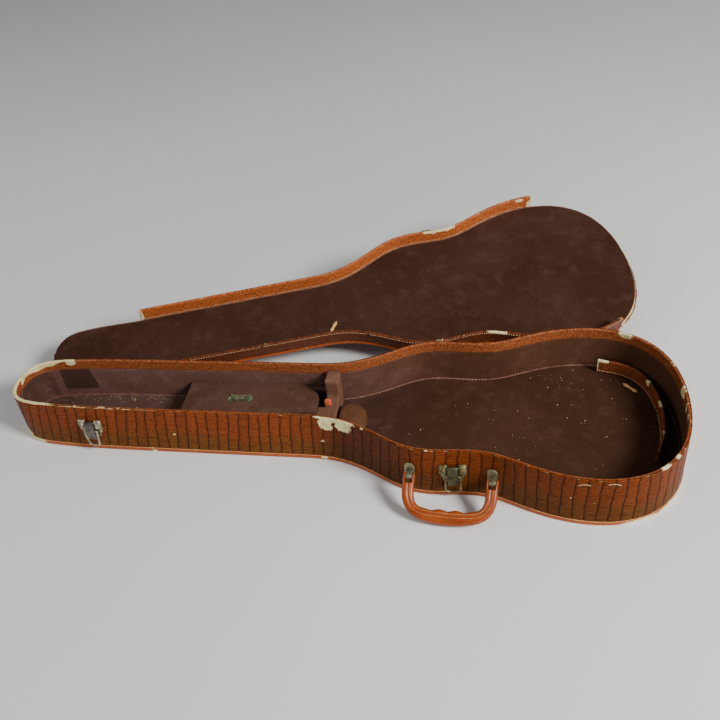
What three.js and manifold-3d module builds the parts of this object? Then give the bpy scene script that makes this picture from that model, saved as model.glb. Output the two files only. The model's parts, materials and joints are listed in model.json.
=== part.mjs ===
// Hard-sided string-instrument case of chipboard, lying open on its back.
//
// A guitar-shaped tray carries a neck rest, an accessory compartment, two draw latches and a
// carrying handle. A shallow lid, whose rim slides over the outside of the tray, swings on three
// hinges. Stretches of the lid's rim have broken away, and one of them lies in the tray.
//
// Millimetres, +Z up. X runs along the case from the head (-X) to the tail (+X), the handle is
// on the -Y side and the hinges are on the +Y side. The origin is under the tray's middle.

import * as THREE from 'three';
import { NURBSCurve } from 'three/addons/curves/NURBSCurve.js';
import { mergeVertices } from 'three/addons/utils/BufferGeometryUtils.js';
import Module from 'manifold-3d';

const wasm = await Module();
wasm.setup();

// ---- driving dimensions ---------------------------------------------------------------------

const LENGTH = 1070;
const TRAY_HEIGHT = 91.5;
const FLOOR_TOP = 16.5; // top of the padded floor
const GAP = 0.3; // glue line between stacked pieces
const STATIONS = 40; // steps along half of the outline

// Half of the outline: distance from the head end and half width, as a spline's control points.
const TEMPLATE = [
  [0, 0], [0, 46], [56, 59], // square head end with round corners
  [185, 62], [291, 62], [396, 63], [487, 63], [549, 63], // neck
  [610, 92], [657, 123], [708, 128], // shoulder and upper bout
  [786, 118], [860, 165], // waist
  [1004, 179], [LENGTH, 91], [LENGTH, 0], // lower bout and tail
];

// Thicknesses of the tray's layers, and how far each one lies inside the outline.
const SKIN = 0.8; // covering and lining cloth
const WALL = 3.2;
const BOARD_OUTER = -SKIN - GAP;
const BOARD_INNER = BOARD_OUTER - WALL;
const LINING_OUTER = BOARD_INNER - GAP;
const LINING_INNER = LINING_OUTER - SKIN;
const TURN_IN = 18; // covering folded over the tray's top edge
const BINDING_PROUD = 0.8;
const BINDING_TOP = 7.5;
const BOTTOM_BOARD = 4;

// The lid, described closed. Its rim slides over the tray with this clearance.
const CLEARANCE = 3.3;
const RIM_BOARD = 2.7;
const RIM_BOTTOM = 67.5;
const RIM_INNER = CLEARANCE + SKIN + GAP;
const RIM_OUTER = RIM_INNER + RIM_BOARD;
const LID_FACE = RIM_OUTER + GAP + SKIN;
const LID_LINING = [92.4, 93.7];
const LID_PANEL = [94.3, 98.6];
const LID_TOP = 99.7;
const RIM_FRONT = [-353, 410]; // what is left of the rim, from and to along X
const RIM_BACK = [-330, 470];
const CORNER_CUT = 2.5; // from the hinge line to the lid's broken head corner
const LID_HEAD = { x: -511, radius: 36 }; // the lid's short head end and the rounding of its corners

// Hinge line: it slants so that it passes outside both bouts and the neck.
const HINGE_SLOPE = 0.149;
const HINGE_Z = 64;
const OPEN_ANGLE = THREE.MathUtils.degToRad(167.5);
const HINGE_X = { neck: -298, shoulder: 143, bout: 366 };
const KNUCKLE_RADIUS = 3;
const HINGE_PIN_RADIUS = 1.2;

// Neck rest, heel pad and accessory compartment.
const REST = { x0: -18, x1: 4, top: 82, notchHalf: 28, notchZ: 46 };
const HEEL = { reach: 46, half: 28, top: 44 };
const BOX = { x0: -254, x1: -28, top: 50, lid: 3.2, wall: 4, cleat: 9 };

// Latches and handle on the front wall.
const LATCH_X = { head: -390, body: 196 };
const LATCH = { top: 66, bottom: 30, half: 20.5, ear: 6, pinZ: 61, pinY: -3.9, loopZ: 47, loopY: -7.8 };
const LOOP = { half: 11, length: 30.4, wire: 1.6 };
const CATCH_ANGLE = THREE.MathUtils.degToRad(170); // loop swung up over its catch
const HANDLE = { x: 193.6, span: 120.4, pivotZ: 45, standOff: 10.5, half: 7, cheek: 6 };
const HANDLE_REST = THREE.MathUtils.degToRad(51.8); // from hanging straight down

// ---- colours --------------------------------------------------------------------------------

const paint = (color, roughness, metalness = 0) =>
  new THREE.MeshStandardMaterial({ color, roughness, metalness });
const leatherette = paint(0x7a3413, 0.45);
const binding = paint(0xb4561f, 0.5);
const board = paint(0xcdb88d, 0.9);
const plush = paint(0x3a2622, 0.95);
const nickel = paint(0x8a8468, 0.4, 0.9);
const brass = paint(0x6f6a35, 0.45, 0.9);
const plastic = paint(0xa8501f, 0.35);
const orange = paint(0xd24a1c, 0.4);

// ---- solids ---------------------------------------------------------------------------------

function toManifold(geometry) {
  const bare = geometry.clone();
  bare.deleteAttribute('normal');
  bare.deleteAttribute('uv');
  const merged = mergeVertices(bare);
  return new wasm.Manifold(new wasm.Mesh({
    numProp: 3,
    vertProperties: merged.attributes.position.array,
    triVerts: merged.index.array,
  }));
}

function toGeometry(solid) {
  const mesh = solid.getMesh();
  const geometry = new THREE.BufferGeometry();
  geometry.setAttribute('position', new THREE.BufferAttribute(mesh.vertProperties, 3));
  geometry.setIndex(new THREE.BufferAttribute(mesh.triVerts, 1));
  geometry.computeVertexNormals();
  return geometry;
}

const join = (...shapes) => toGeometry(shapes.map(toManifold).reduce((a, b) => a.add(b)));

const cut = (body, ...tools) =>
  toGeometry(tools.map(toManifold).reduce((a, b) => a.subtract(b), toManifold(body)));

/** Box between two corners. */
function block(low, high) {
  const size = high.map((value, axis) => value - low[axis]);
  const middle = high.map((value, axis) => (value + low[axis]) / 2);
  return new THREE.BoxGeometry(...size).translate(...middle);
}

/** Round bar along X, centred on (x, y, z). */
const bar = (radius, length, x, y, z, sides = 12) =>
  new THREE.CylinderGeometry(radius, radius, length, sides).rotateZ(Math.PI / 2).translate(x, y, z);

/** Flat solid of an outline in XY between two heights. */
const slab = (points, z0, z1) =>
  new THREE.ExtrudeGeometry(new THREE.Shape(points), { depth: z1 - z0, bevelEnabled: false })
    .translate(0, 0, z0);

/** Solid of a profile given as [y, z] points, along X from x0 to x1. */
const rail = (profile, x0, x1) =>
  new THREE.ExtrudeGeometry(
    new THREE.Shape(profile.map(([y, z]) => new THREE.Vector2(y, z))),
    { depth: x1 - x0, bevelEnabled: false },
  ).rotateY(Math.PI / 2).rotateX(Math.PI / 2).translate(x0, 0, 0);

// ---- outline --------------------------------------------------------------------------------

const knots = [0, 0, 0, ...TEMPLATE.slice(2).map((_, i) => i / (TEMPLATE.length - 3)), 1, 1, 1];
const outline = new NURBSCurve(
  3,
  knots,
  TEMPLATE.map(([x, y]) => new THREE.Vector4(x - LENGTH / 2, y, 0, 1)),
);

/** Parameter of the outline where it reaches x. */
function paramAt(x) {
  let low = 0;
  let high = 1;
  for (let i = 0; i < 40; i += 1) {
    const middle = (low + high) / 2;
    if (outline.getPoint(middle).x < x) low = middle;
    else high = middle;
  }
  return low;
}

const stations = Array.from({ length: STATIONS + 1 }, (_, i) => i / STATIONS)
  .concat([...RIM_FRONT, ...RIM_BACK].map(paramAt))
  .sort((a, b) => a - b);

/** The outline moved out by offset, on the back (side 1) or the front (side -1), as points. */
function edge(offset, side, x0 = -LENGTH, x1 = LENGTH) {
  return stations
    .map((t) => ({ at: outline.getPoint(t), along: outline.getTangent(t) }))
    .filter(({ at }) => at.x > x0 - 0.01 && at.x < x1 + 0.01)
    .map(({ at, along }) => new THREE.Vector2(
      at.x - offset * along.y,
      side * Math.max(at.y + offset * along.x, GAP / 2),
    ));
}

/** Upright band between two offsets and two heights. */
const band = (inner, outer, z0, z1, side, x0, x1) =>
  slab([...edge(outer, side, x0, x1), ...edge(inner, side, x0, x1).reverse()], z0, z1);

/** Full panel inside an offset, between two heights. */
const panel = (offset, z0, z1) =>
  slab([...edge(offset, 1), ...edge(offset, -1).reverse()], z0, z1);

/** Point on the front wall's face at x, and the wall's direction there. */
function frontWall(x) {
  const t = paramAt(x);
  const at = outline.getPoint(t);
  const along = outline.getTangent(t);
  return { x: at.x, y: -at.y, turn: Math.atan2(-along.y, along.x) };
}

// Hinge line: y = hingeY + HINGE_SLOPE * x, clear of the rim at the lower bout.
const lineLength = Math.hypot(1, HINGE_SLOPE);
const hingeY = Math.max(...edge(LID_FACE, 1).filter((p) => p.x > 0).map((p) => p.y - HINGE_SLOPE * p.x))
  + (KNUCKLE_RADIUS + 1) * lineLength;
const hingeAxis = new THREE.Vector3(1, HINGE_SLOPE, 0).normalize();

// ---- assembly -------------------------------------------------------------------------------

const model = new THREE.Group();
const tray = new THREE.Group();
const lid = new THREE.Group();
model.add(tray, lid);

function part(parent, name, geometry, material) {
  const mesh = new THREE.Mesh(geometry, material);
  mesh.name = name;
  parent.add(mesh);
}

const sides = { front: -1, back: 1 };

function addTray() {
  part(tray, 'bottom_covering', panel(0, 0, SKIN), leatherette);
  part(tray, 'bottom_board', panel(LINING_OUTER, SKIN + GAP, SKIN + GAP + BOTTOM_BOARD), board);
  const floorBottom = SKIN + BOTTOM_BOARD + 2 * GAP;
  part(tray, 'floor_pad', panel(LINING_INNER - GAP, floorBottom, FLOOR_TOP), plush);
  for (const [name, side] of Object.entries(sides)) {
    const top = TRAY_HEIGHT;
    part(tray, `wall_${name}`, band(BOARD_INNER, BOARD_OUTER, SKIN + GAP, top - SKIN - GAP, side), board);
    const covering = join(
      band(-SKIN, 0, BINDING_TOP + GAP, top, side),
      band(LINING_INNER, 0, top - SKIN, top, side),
      band(LINING_INNER, LINING_OUTER, top - TURN_IN, top, side),
    );
    part(tray, `covering_${name}`, covering, leatherette);
    const trim = band(-SKIN, BINDING_PROUD, SKIN + GAP, BINDING_TOP, side);
    part(tray, `binding_${name}`, trim, binding);
    const lining = band(LINING_INNER, LINING_OUTER, floorBottom, top - TURN_IN - GAP, side);
    part(tray, `lining_${name}`, lining, plush);
  }
}

/** Width of the tray's inside at x, from its middle. */
const insideHalf = (x) => outline.getPoint(paramAt(x)).y + LINING_INNER - 2 * GAP;

function addInterior() {
  const floor = FLOOR_TOP + GAP;
  const restHalf = insideHalf(REST.x0) - 0.5;
  const profile = [
    [-restHalf, floor], [restHalf, floor], [restHalf, REST.top], [REST.notchHalf + 3, REST.top],
    [REST.notchHalf, REST.top - 3], [REST.notchHalf, REST.notchZ + 8], [REST.notchHalf - 8, REST.notchZ],
    [8 - REST.notchHalf, REST.notchZ], [-REST.notchHalf, REST.notchZ + 8], [-REST.notchHalf, REST.top - 3],
    [-REST.notchHalf - 3, REST.top], [-restHalf, REST.top],
  ];
  part(tray, 'neck_rest', rail(profile, REST.x0, REST.x1), plush);

  const heelStart = REST.x1 + GAP;
  const heel = new THREE.Shape();
  heel.moveTo(heelStart, -HEEL.half);
  heel.lineTo(heelStart + HEEL.reach - HEEL.half, -HEEL.half);
  heel.absarc(heelStart + HEEL.reach - HEEL.half, 0, HEEL.half, -Math.PI / 2, Math.PI / 2);
  heel.lineTo(heelStart, HEEL.half);
  part(tray, 'heel_pad', slab(heel.getPoints(6), floor, HEEL.top), plush);

  const tab = REST.notchZ + GAP;
  part(tray, 'notch_tab', block([REST.x0 + 0.5, 9.5, tab], [REST.x0 + 11.5, 12, tab + 13.5]), orange);
}

function addCompartment() {
  const floor = FLOOR_TOP + GAP;
  const under = BOX.top - BOX.lid - GAP;
  const half = insideHalf(BOX.x0) - 1;
  const end = block([BOX.x0 + 1, -half, floor], [BOX.x0 + 1 + BOX.wall, half, under]);
  part(tray, 'compartment_end', end, plush);
  const railStart = BOX.x0 + 1 + BOX.wall + GAP;
  for (const [name, side] of Object.entries(sides)) {
    const y0 = side * half;
    const y1 = side * (half - BOX.cleat);
    const low = [railStart, Math.min(y0, y1), under - BOX.cleat];
    part(tray, `compartment_cleat_${name}`, block(low, [REST.x0 - GAP, Math.max(y0, y1), under]), board);
  }

  // The lid's tail end is rounded off at the back, which leaves room for a finger.
  const finger = 42;
  const shape = new THREE.Shape();
  shape.moveTo(BOX.x0, -half);
  shape.lineTo(BOX.x1, -half);
  shape.lineTo(BOX.x1, half - finger);
  shape.absarc(BOX.x1 - finger, half - finger, finger, 0, Math.PI / 2);
  shape.lineTo(BOX.x0, half);
  const cover = slab(shape.getPoints(8), BOX.top - BOX.lid, BOX.top);
  part(tray, 'compartment_lid', cover, plush);

  const pull = { x: -160, y: 16, half: 21, depth: 6.5 };
  const plateTop = BOX.top + GAP + 1;
  const pinZ = plateTop + 1.6;
  const ear = (x) => block([x - 1, pull.y + 2.4, plateTop - 0.5], [x + 1, pull.y + 6, pinZ + 1.8]);
  const ears = [-1, 1].map((side) => ear(pull.x + side * (pull.half - 6)));
  const base = block(
    [pull.x - pull.half, pull.y - pull.depth, BOX.top + GAP],
    [pull.x + pull.half, pull.y + pull.depth, plateTop],
  );
  const holes = bar(1.2, 2 * pull.half, pull.x, pull.y + 4.2, pinZ, 8);
  part(tray, 'pull_plate', cut(join(base, ...ears), holes), brass);
  const reach = 9;
  const wire = 0.9;
  const stub = pull.half - 5.5;
  const bail = join(
    ...[-1, 1].map((side) => block(
      [pull.x + side * (stub - 3) - wire, pull.y + 4.2 - reach, pinZ - wire],
      [pull.x + side * (stub - 3) + wire, pull.y + 4.2, pinZ + wire],
    )),
    block(
      [pull.x - stub + 3 - wire, pull.y + 3.3 - reach, pinZ - wire],
      [pull.x + stub - 3 + wire, pull.y + 5.1 - reach, pinZ + wire],
    ),
    bar(wire, 2 * stub, pull.x, pull.y + 4.2, pinZ, 8),
  );
  part(tray, 'pull_bail', bail, brass);
}

/** The stretch of lid rim that broke off at the tail, standing on the padded floor. */
function addLooseRim() {
  const path = new THREE.CatmullRomCurve3([
    new THREE.Vector3(418, 147, 0), new THREE.Vector3(462, 133, 0), new THREE.Vector3(490, 102, 0),
    new THREE.Vector3(504, 48, 0), new THREE.Vector3(503, -12, 0), new THREE.Vector3(490, -60, 0),
  ]);
  const steps = 20;
  const side = (offset) => Array.from({ length: steps + 1 }, (_, i) => {
    const at = path.getPoint(i / steps);
    const along = path.getTangent(i / steps);
    return new THREE.Vector2(at.x - offset * along.y, at.y + offset * along.x);
  });
  const half = (RIM_BOARD + 2 * SKIN) / 2;
  const points = [...side(half), ...side(-half).reverse()];
  part(tray, 'loose_rim_piece', slab(points, FLOOR_TOP + GAP, FLOOR_TOP + GAP + 25), leatherette);
}

/** What is taken off the head end of a lid panel: all beyond LID_HEAD.x, and the two corners. */
function beyondHead(offset, z0, z1) {
  const { x, radius } = LID_HEAD;
  const half = Math.max(...edge(offset, 1).filter((p) => p.x < x + radius).map((p) => p.y));
  const steps = 12;
  const arc = (side) => Array.from({ length: steps + 1 }, (_, i) => {
    const angle = (i / steps) * Math.PI / 2;
    return new THREE.Vector2(x + radius * (1 - Math.sin(angle)), side * (half - radius * (1 - Math.cos(angle))));
  });
  const outside = [
    new THREE.Vector2(-LENGTH, -half - 5), new THREE.Vector2(x + radius, -half - 5), ...arc(-1),
    ...arc(1).reverse(), new THREE.Vector2(x + radius, half + 5), new THREE.Vector2(-LENGTH, half + 5),
  ];
  return slab(outside, z0 - 1, z1 + 1);
}

/** Panel of the lid, with its broken head corner cut back to the hinge line so that it can swing. */
function lidPanel(offset, z0, z1) {
  const beyond = block([-LENGTH, -CORNER_CUT, z0 - 1], [RIM_BACK[0] - 10, LENGTH, z1 + 1])
    .rotateZ(Math.atan(HINGE_SLOPE)).translate(0, hingeY, 0);
  return cut(cut(panel(offset, z0, z1), beyond), beyondHead(offset, z0, z1));
}

function addLid() {
  part(lid, 'lid_lining', lidPanel(CLEARANCE - GAP, ...LID_LINING), plush);
  part(lid, 'lid_panel', lidPanel(RIM_INNER - GAP, ...LID_PANEL), board);
  part(lid, 'lid_covering', lidPanel(RIM_OUTER, LID_PANEL[1] + GAP, LID_TOP), leatherette);
  const stretches = { front: RIM_FRONT, back: RIM_BACK };
  for (const [name, side] of Object.entries(sides)) {
    const [x0, x1] = stretches[name];
    const core = band(RIM_INNER, RIM_OUTER, RIM_BOTTOM + SKIN + GAP, LID_PANEL[1], side, x0, x1);
    part(lid, `rim_${name}`, core, board);
    const covering = join(
      band(RIM_OUTER + GAP, LID_FACE, RIM_BOTTOM, LID_LINING[1], side, x0, x1),
      band(CLEARANCE, LID_FACE, RIM_BOTTOM, RIM_BOTTOM + SKIN, side, x0, x1),
      band(CLEARANCE, CLEARANCE + SKIN, RIM_BOTTOM, LID_LINING[1], side, x0, x1),
    );
    part(lid, `rim_covering_${name}`, covering, leatherette);
    const trimOuter = LID_FACE + BINDING_PROUD;
    const trim = band(RIM_OUTER + GAP, trimOuter, LID_LINING[1] + GAP, LID_TOP, side, x0, x1);
    part(lid, `lid_binding_${name}`, trim, binding);
  }
}

/** Distance from the hinge line at x square to it, to the edge at an offset. */
function reachTo(offset, x, half) {
  const near = edge(offset, 1).filter((p) => Math.abs(p.x - x) < half + 30);
  const gaps = near.map((p) => (hingeY + HINGE_SLOPE * p.x - p.y) / lineLength);
  return Math.min(...gaps);
}

function addHinge(name, x) {
  const half = 22;
  const knuckle = 7.3;
  const sheet = 1;
  const toLid = -reachTo(LID_FACE, x, half) + GAP;
  const toTray = -reachTo(0, x, half) + GAP;
  const hole = bar(HINGE_PIN_RADIUS + GAP, 3 * half, 0, 0, 0);
  const barrel = (x0, x1) => bar(KNUCKLE_RADIUS, x1 - x0, (x0 + x1) / 2, 0, 0);
  const lidLeaf = [[0, 1.4], [0, 2.4], [toLid + sheet, 2.4], [toLid + sheet, 24], [toLid, 24], [toLid, 1.4]];
  const trayLeaf = [
    [0, -1.4], [0, -2.4], [toTray + sheet, -2.4], [toTray + sheet, -24], [toTray, -24], [toTray, -1.4],
  ];
  const slots = block([-knuckle - GAP, -KNUCKLE_RADIUS - GAP, -4], [knuckle + GAP, 9, 4]);
  const relief = [-1, 1].map((side) => block(
    [Math.min(side * knuckle, side * 2 * half), -KNUCKLE_RADIUS - GAP, -4],
    [Math.max(side * knuckle, side * 2 * half), 9, 4],
  ));
  const lidSide = cut(join(rail(lidLeaf, -half, half), barrel(-half, half)), hole, ...relief);
  const traySide = cut(join(rail(trayLeaf, -half, half), barrel(-half, half)), hole, slots);
  const pin = bar(HINGE_PIN_RADIUS, 2 * half + 1, 0, 0, 0);
  for (const [parent, node, geometry] of [
    [lid, 'lid_leaf', lidSide], [tray, 'tray_leaf', traySide], [tray, 'pin', pin],
  ]) {
    geometry.rotateZ(Math.atan(HINGE_SLOPE)).translate(x, hingeY + HINGE_SLOPE * x, HINGE_Z);
    part(parent, `hinge_${name}_${node}`, geometry, nickel);
  }
}

function addLatch(name, x, metal) {
  const at = frontWall(x);
  const place = new THREE.Group();
  place.position.set(at.x, at.y, 0);
  place.rotation.z = at.turn;
  tray.add(place);

  const { half, ear, pinY, pinZ, loopY, loopZ } = LATCH;
  const sheet = block([-half, -2.1, LATCH.bottom], [half, -1.1, LATCH.top]);
  const ears = [-1, 1].map((side) => {
    const xs = [side * 8, side * (half - 1)];
    const profile = [[-1.5, 42], [-3.4, 42], [-4.8, 49.5], [-ear, 52], [-ear, 63.2], [-4.6, 65], [-1.5, 65]];
    return rail(profile, Math.min(...xs), Math.max(...xs));
  });
  const pinHole = bar(1.3, 60, 0, pinY, pinZ);
  const window = block([-7.9, -3, 56], [7.9, 0, 67]);
  part(place, `latch_${name}_plate`, cut(join(sheet, ...ears), pinHole, window), metal);
  part(place, `latch_${name}_pin`, bar(1, 2 * half - 2, 0, pinY, pinZ), metal);

  const tongue = rail([
    [-2.4, 61], [-3.2, 63.6], [-5.2, 63.6], [-7, 61], [-10, 50], [-10, 45], [-7.4, 28],
    [-5.8, 26.5], [-5.4, 28], [-5.6, 44], [-5.6, 50], [-3, 58.4],
  ], -7.4, 7.4);
  const loopHole = bar(1.9, 30, 0, loopY, loopZ);
  part(place, `latch_${name}_lever`, cut(tongue, pinHole, loopHole), metal);

  const { wire } = LOOP;
  const low = loopZ - LOOP.length;
  const stub = LOOP.half + wire - 4;
  const legs = [-1, 1].map((side) => join(
    new THREE.CylinderGeometry(wire, wire, LOOP.length + 2 * wire, 8)
      .rotateX(Math.PI / 2).translate(side * LOOP.half, loopY, (loopZ + low) / 2),
    bar(wire, stub, side * (4 + stub / 2), loopY, loopZ, 8),
  ));
  const crossbar = bar(wire, 2 * (LOOP.half + wire), 0, loopY, low, 8);
  part(place, `latch_${name}_loop`, join(crossbar, ...legs), metal);
}

/** Hooked catch on the lid's front rim, which the body latch's loop pulls down on. */
function addCatch() {
  const at = frontWall(LATCH_X.body);
  const barY = LATCH.loopY - LOOP.length * Math.sin(CATCH_ANGLE);
  const barZ = LATCH.loopZ - LOOP.length * Math.cos(CATCH_ANGLE);
  const back = -LID_FACE - 2 * GAP;
  const ledgeTop = barZ - LOOP.wire - 0.6;
  const lip = barY - LOOP.wire - 0.6;
  const hook = join(
    block([-12, back - 1, RIM_BOTTOM + 3], [12, back, RIM_BOTTOM + 22]),
    block([-8.5, lip - 1, ledgeTop - 1.2], [8.5, back - 0.5, ledgeTop]),
    block([-8.5, lip - 1, ledgeTop - 1.2], [8.5, lip, ledgeTop + 2.6]),
  );
  hook.rotateZ(at.turn).translate(at.x, at.y, 0);
  part(lid, 'latch_catch', hook, nickel);
}

/** U-shaped grip in its own plane: x across, y down from the pivot. */
function handleOutline() {
  const leg = [51.5, 69];
  const shape = new THREE.Shape();
  shape.moveTo(leg[1], -6);
  shape.lineTo(leg[1], 20);
  shape.bezierCurveTo(leg[1], 48, 52, 60, 28, 63.5);
  shape.quadraticCurveTo(0, 68, -28, 63.5);
  shape.bezierCurveTo(-52, 60, -leg[1], 48, -leg[1], 20);
  shape.lineTo(-leg[1], -6);
  shape.lineTo(-leg[0], -6);
  shape.lineTo(-leg[0], 20);
  shape.bezierCurveTo(-leg[0], 34, -47, 42, -36, 43);
  const waves = 12;
  for (let i = 1; i <= waves; i += 1) {
    const x = -36 + (72 * i) / waves;
    shape.lineTo(x, 44.2 - 1.4 * Math.cos((i * 3 * Math.PI * 2) / waves));
  }
  shape.bezierCurveTo(47, 42, leg[0], 34, leg[0], 20);
  shape.lineTo(leg[0], -6);
  return shape;
}

function addHandle() {
  const ends = [-1, 1].map((side) => frontWall(HANDLE.x + (side * HANDLE.span) / 2));
  const place = new THREE.Group();
  place.position.set((ends[0].x + ends[1].x) / 2, (ends[0].y + ends[1].y) / 2, HANDLE.pivotZ);
  place.rotation.z = Math.atan2(ends[1].y - ends[0].y, ends[1].x - ends[0].x);
  tray.add(place);

  const swing = new THREE.Group();
  swing.position.y = -HANDLE.standOff;
  swing.rotation.x = -HANDLE_REST;
  place.add(swing);
  const bevel = 4;
  const grip = new THREE.ExtrudeGeometry(handleOutline(), {
    depth: 2 * (HANDLE.half - bevel),
    bevelThickness: bevel,
    bevelSize: bevel,
    bevelOffset: -bevel,
    bevelSegments: 2,
    curveSegments: 7,
  }).translate(0, 0, bevel - HANDLE.half).rotateX(-Math.PI / 2);
  const arms = [-1, 1].map((side) => side * HANDLE.span / 2);
  const slots = arms.map((x) => block([x - 5.6, -10, -9.5], [x + 5.6, 10, 10]));
  const holes = arms.map((x) => bar(2.1, 24, x, 0, 0));
  const corners = arms.map((x) => cut(
    block([x - 12, -12, -12], [x + 12, 12, 12]),
    bar(HANDLE.cheek, 30, x, 0, 0, 20),
    block([x - 14, -14, -14], [x + 14, 14, 0]),
  ));
  part(swing, 'handle', cut(grip, ...slots, ...holes, ...corners), plastic);

  const names = ['head', 'tail'];
  arms.forEach((x, i) => {
    const plate = new THREE.Shape();
    plate.moveTo(-8, -11);
    plate.lineTo(8, -11);
    plate.lineTo(8, 11);
    plate.absarc(0, 11, 8, 0, Math.PI);
    const sheet = slab(plate.getPoints(5), 1.2, 2.3).rotateX(Math.PI / 2);
    sheet.rotateZ(ends[i].turn - place.rotation.z).translate(x, 0, 0);
    const knuckle = bar(4.4, 10.4, x, -HANDLE.standOff, 0);
    const neck = block([x - 5.2, -HANDLE.standOff, -3.5], [x + 5.2, -1.9, 3.5]);
    const pinHole = bar(2.1, 24, x, -HANDLE.standOff, 0);
    part(place, `handle_bracket_${names[i]}`, cut(join(sheet, knuckle, neck), pinHole), nickel);
    part(place, `handle_pin_${names[i]}`, bar(1.8, 16.4, x, -HANDLE.standOff, 0), nickel);
  });
}

addTray();
addInterior();
addCompartment();
addLooseRim();
addLid();
for (const [name, x] of Object.entries(HINGE_X)) addHinge(name, x);
addLatch('head', LATCH_X.head, nickel);
addLatch('body', LATCH_X.body, brass);
addCatch();
addHandle();

// Swing the closed lid open about the hinge line.
const pivot = new THREE.Vector3(0, hingeY, HINGE_Z);
lid.quaternion.setFromAxisAngle(hingeAxis, -OPEN_ANGLE);
lid.position.copy(pivot).sub(pivot.clone().applyQuaternion(lid.quaternion));

export default model;
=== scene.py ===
"""Looks of the open guitar case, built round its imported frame.

Lengths are in millimetres until an object is made.
"""
import json
import math
from random import Random

import bmesh
import bpy
import numpy as np
from mathutils import Matrix, Vector


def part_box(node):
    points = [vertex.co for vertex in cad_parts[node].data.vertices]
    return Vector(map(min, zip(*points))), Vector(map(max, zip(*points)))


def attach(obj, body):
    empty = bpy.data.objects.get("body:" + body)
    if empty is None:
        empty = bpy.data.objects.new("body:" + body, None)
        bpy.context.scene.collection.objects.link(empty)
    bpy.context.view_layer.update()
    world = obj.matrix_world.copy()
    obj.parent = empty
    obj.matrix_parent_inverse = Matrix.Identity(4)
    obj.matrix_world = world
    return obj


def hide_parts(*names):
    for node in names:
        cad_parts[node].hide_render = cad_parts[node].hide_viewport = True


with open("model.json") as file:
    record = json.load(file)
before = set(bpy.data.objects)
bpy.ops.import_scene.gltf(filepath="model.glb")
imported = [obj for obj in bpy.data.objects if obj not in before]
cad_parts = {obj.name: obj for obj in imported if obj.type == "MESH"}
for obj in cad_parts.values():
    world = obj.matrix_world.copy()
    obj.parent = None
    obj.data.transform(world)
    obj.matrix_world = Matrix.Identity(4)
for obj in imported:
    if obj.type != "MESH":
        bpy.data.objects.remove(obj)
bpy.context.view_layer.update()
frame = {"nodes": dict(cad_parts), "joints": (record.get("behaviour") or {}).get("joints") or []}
MM = 0.001

# ---- driving sizes, as in the frame ----
LENGTH = 1070.0
TEMPLATE = [
    (0, 0), (0, 46), (56, 59), (185, 62), (291, 62), (396, 63), (487, 63), (549, 63),
    (610, 92), (657, 123), (708, 128), (786, 118), (860, 165), (1004, 179), (1070, 91), (1070, 0),
]
TRAY_TOP = 91.5
FLOOR_TOP = 16.5
FLOOR_EDGE = -6.9
COVER_BACK = -0.9
BOARD_FACES = (-1.15, -4.25)
LINING_FACE = -5.4
CELL_PITCH = 17.0
RIM_BOTTOM = 67.5
RIM_INSIDE = 3.3
RIM_OUTSIDE = 8.2
RIM_FRONT = (-353.0, 410.0)
RIM_BACK = (-330.0, 470.0)
LID_LINING = (92.4, 93.7)
LID_PANEL = (94.3, 98.6)
LID_TOP = 99.7
LID_HEAD = dict(x=-511, radius=36, spread=6)
OPEN_ANGLE = math.radians(167.5)
REST = dict(x0=-18, x1=4, top=82, notch_half=28, notch_z=46)
HANDLE_REST = math.radians(51.8)

HINGE = next(j for j in frame["joints"] if j["name"] == "lid_hinge")
LID_OPEN = (
    Matrix.Translation(Vector(HINGE["pos_m"]))
    @ Matrix.Rotation(-OPEN_ANGLE, 4, Vector(HINGE["axis"]))
    @ Matrix.Translation(-Vector(HINGE["pos_m"]))
)


# ---- the outline ----
def spline_half(count=2400):
    """Half of the plan outline, from the head to the tail, as points x, y with y >= 0."""
    control = np.array(TEMPLATE, float)
    knots = np.concatenate([[0] * 3, np.linspace(0, 1, len(control) - 2), [1] * 3])
    t = np.linspace(0, 1, count)
    basis = [((knots[i] <= t) & (t < knots[i + 1])).astype(float) for i in range(len(knots) - 1)]
    basis[len(control) - 1][-1] = 1
    for degree in range(1, 4):
        for i in range(len(knots) - 1 - degree):
            left = knots[i + degree] - knots[i]
            right = knots[i + degree + 1] - knots[i + 1]
            a = (t - knots[i]) / left * basis[i] if left > 0 else 0
            b = (knots[i + degree + 1] - t) / right * basis[i + 1] if right > 0 else 0
            basis[i] = a + b
    points = sum(np.outer(basis[i], control[i]) for i in range(len(control)))
    points[:, 0] -= LENGTH / 2
    return points


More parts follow.
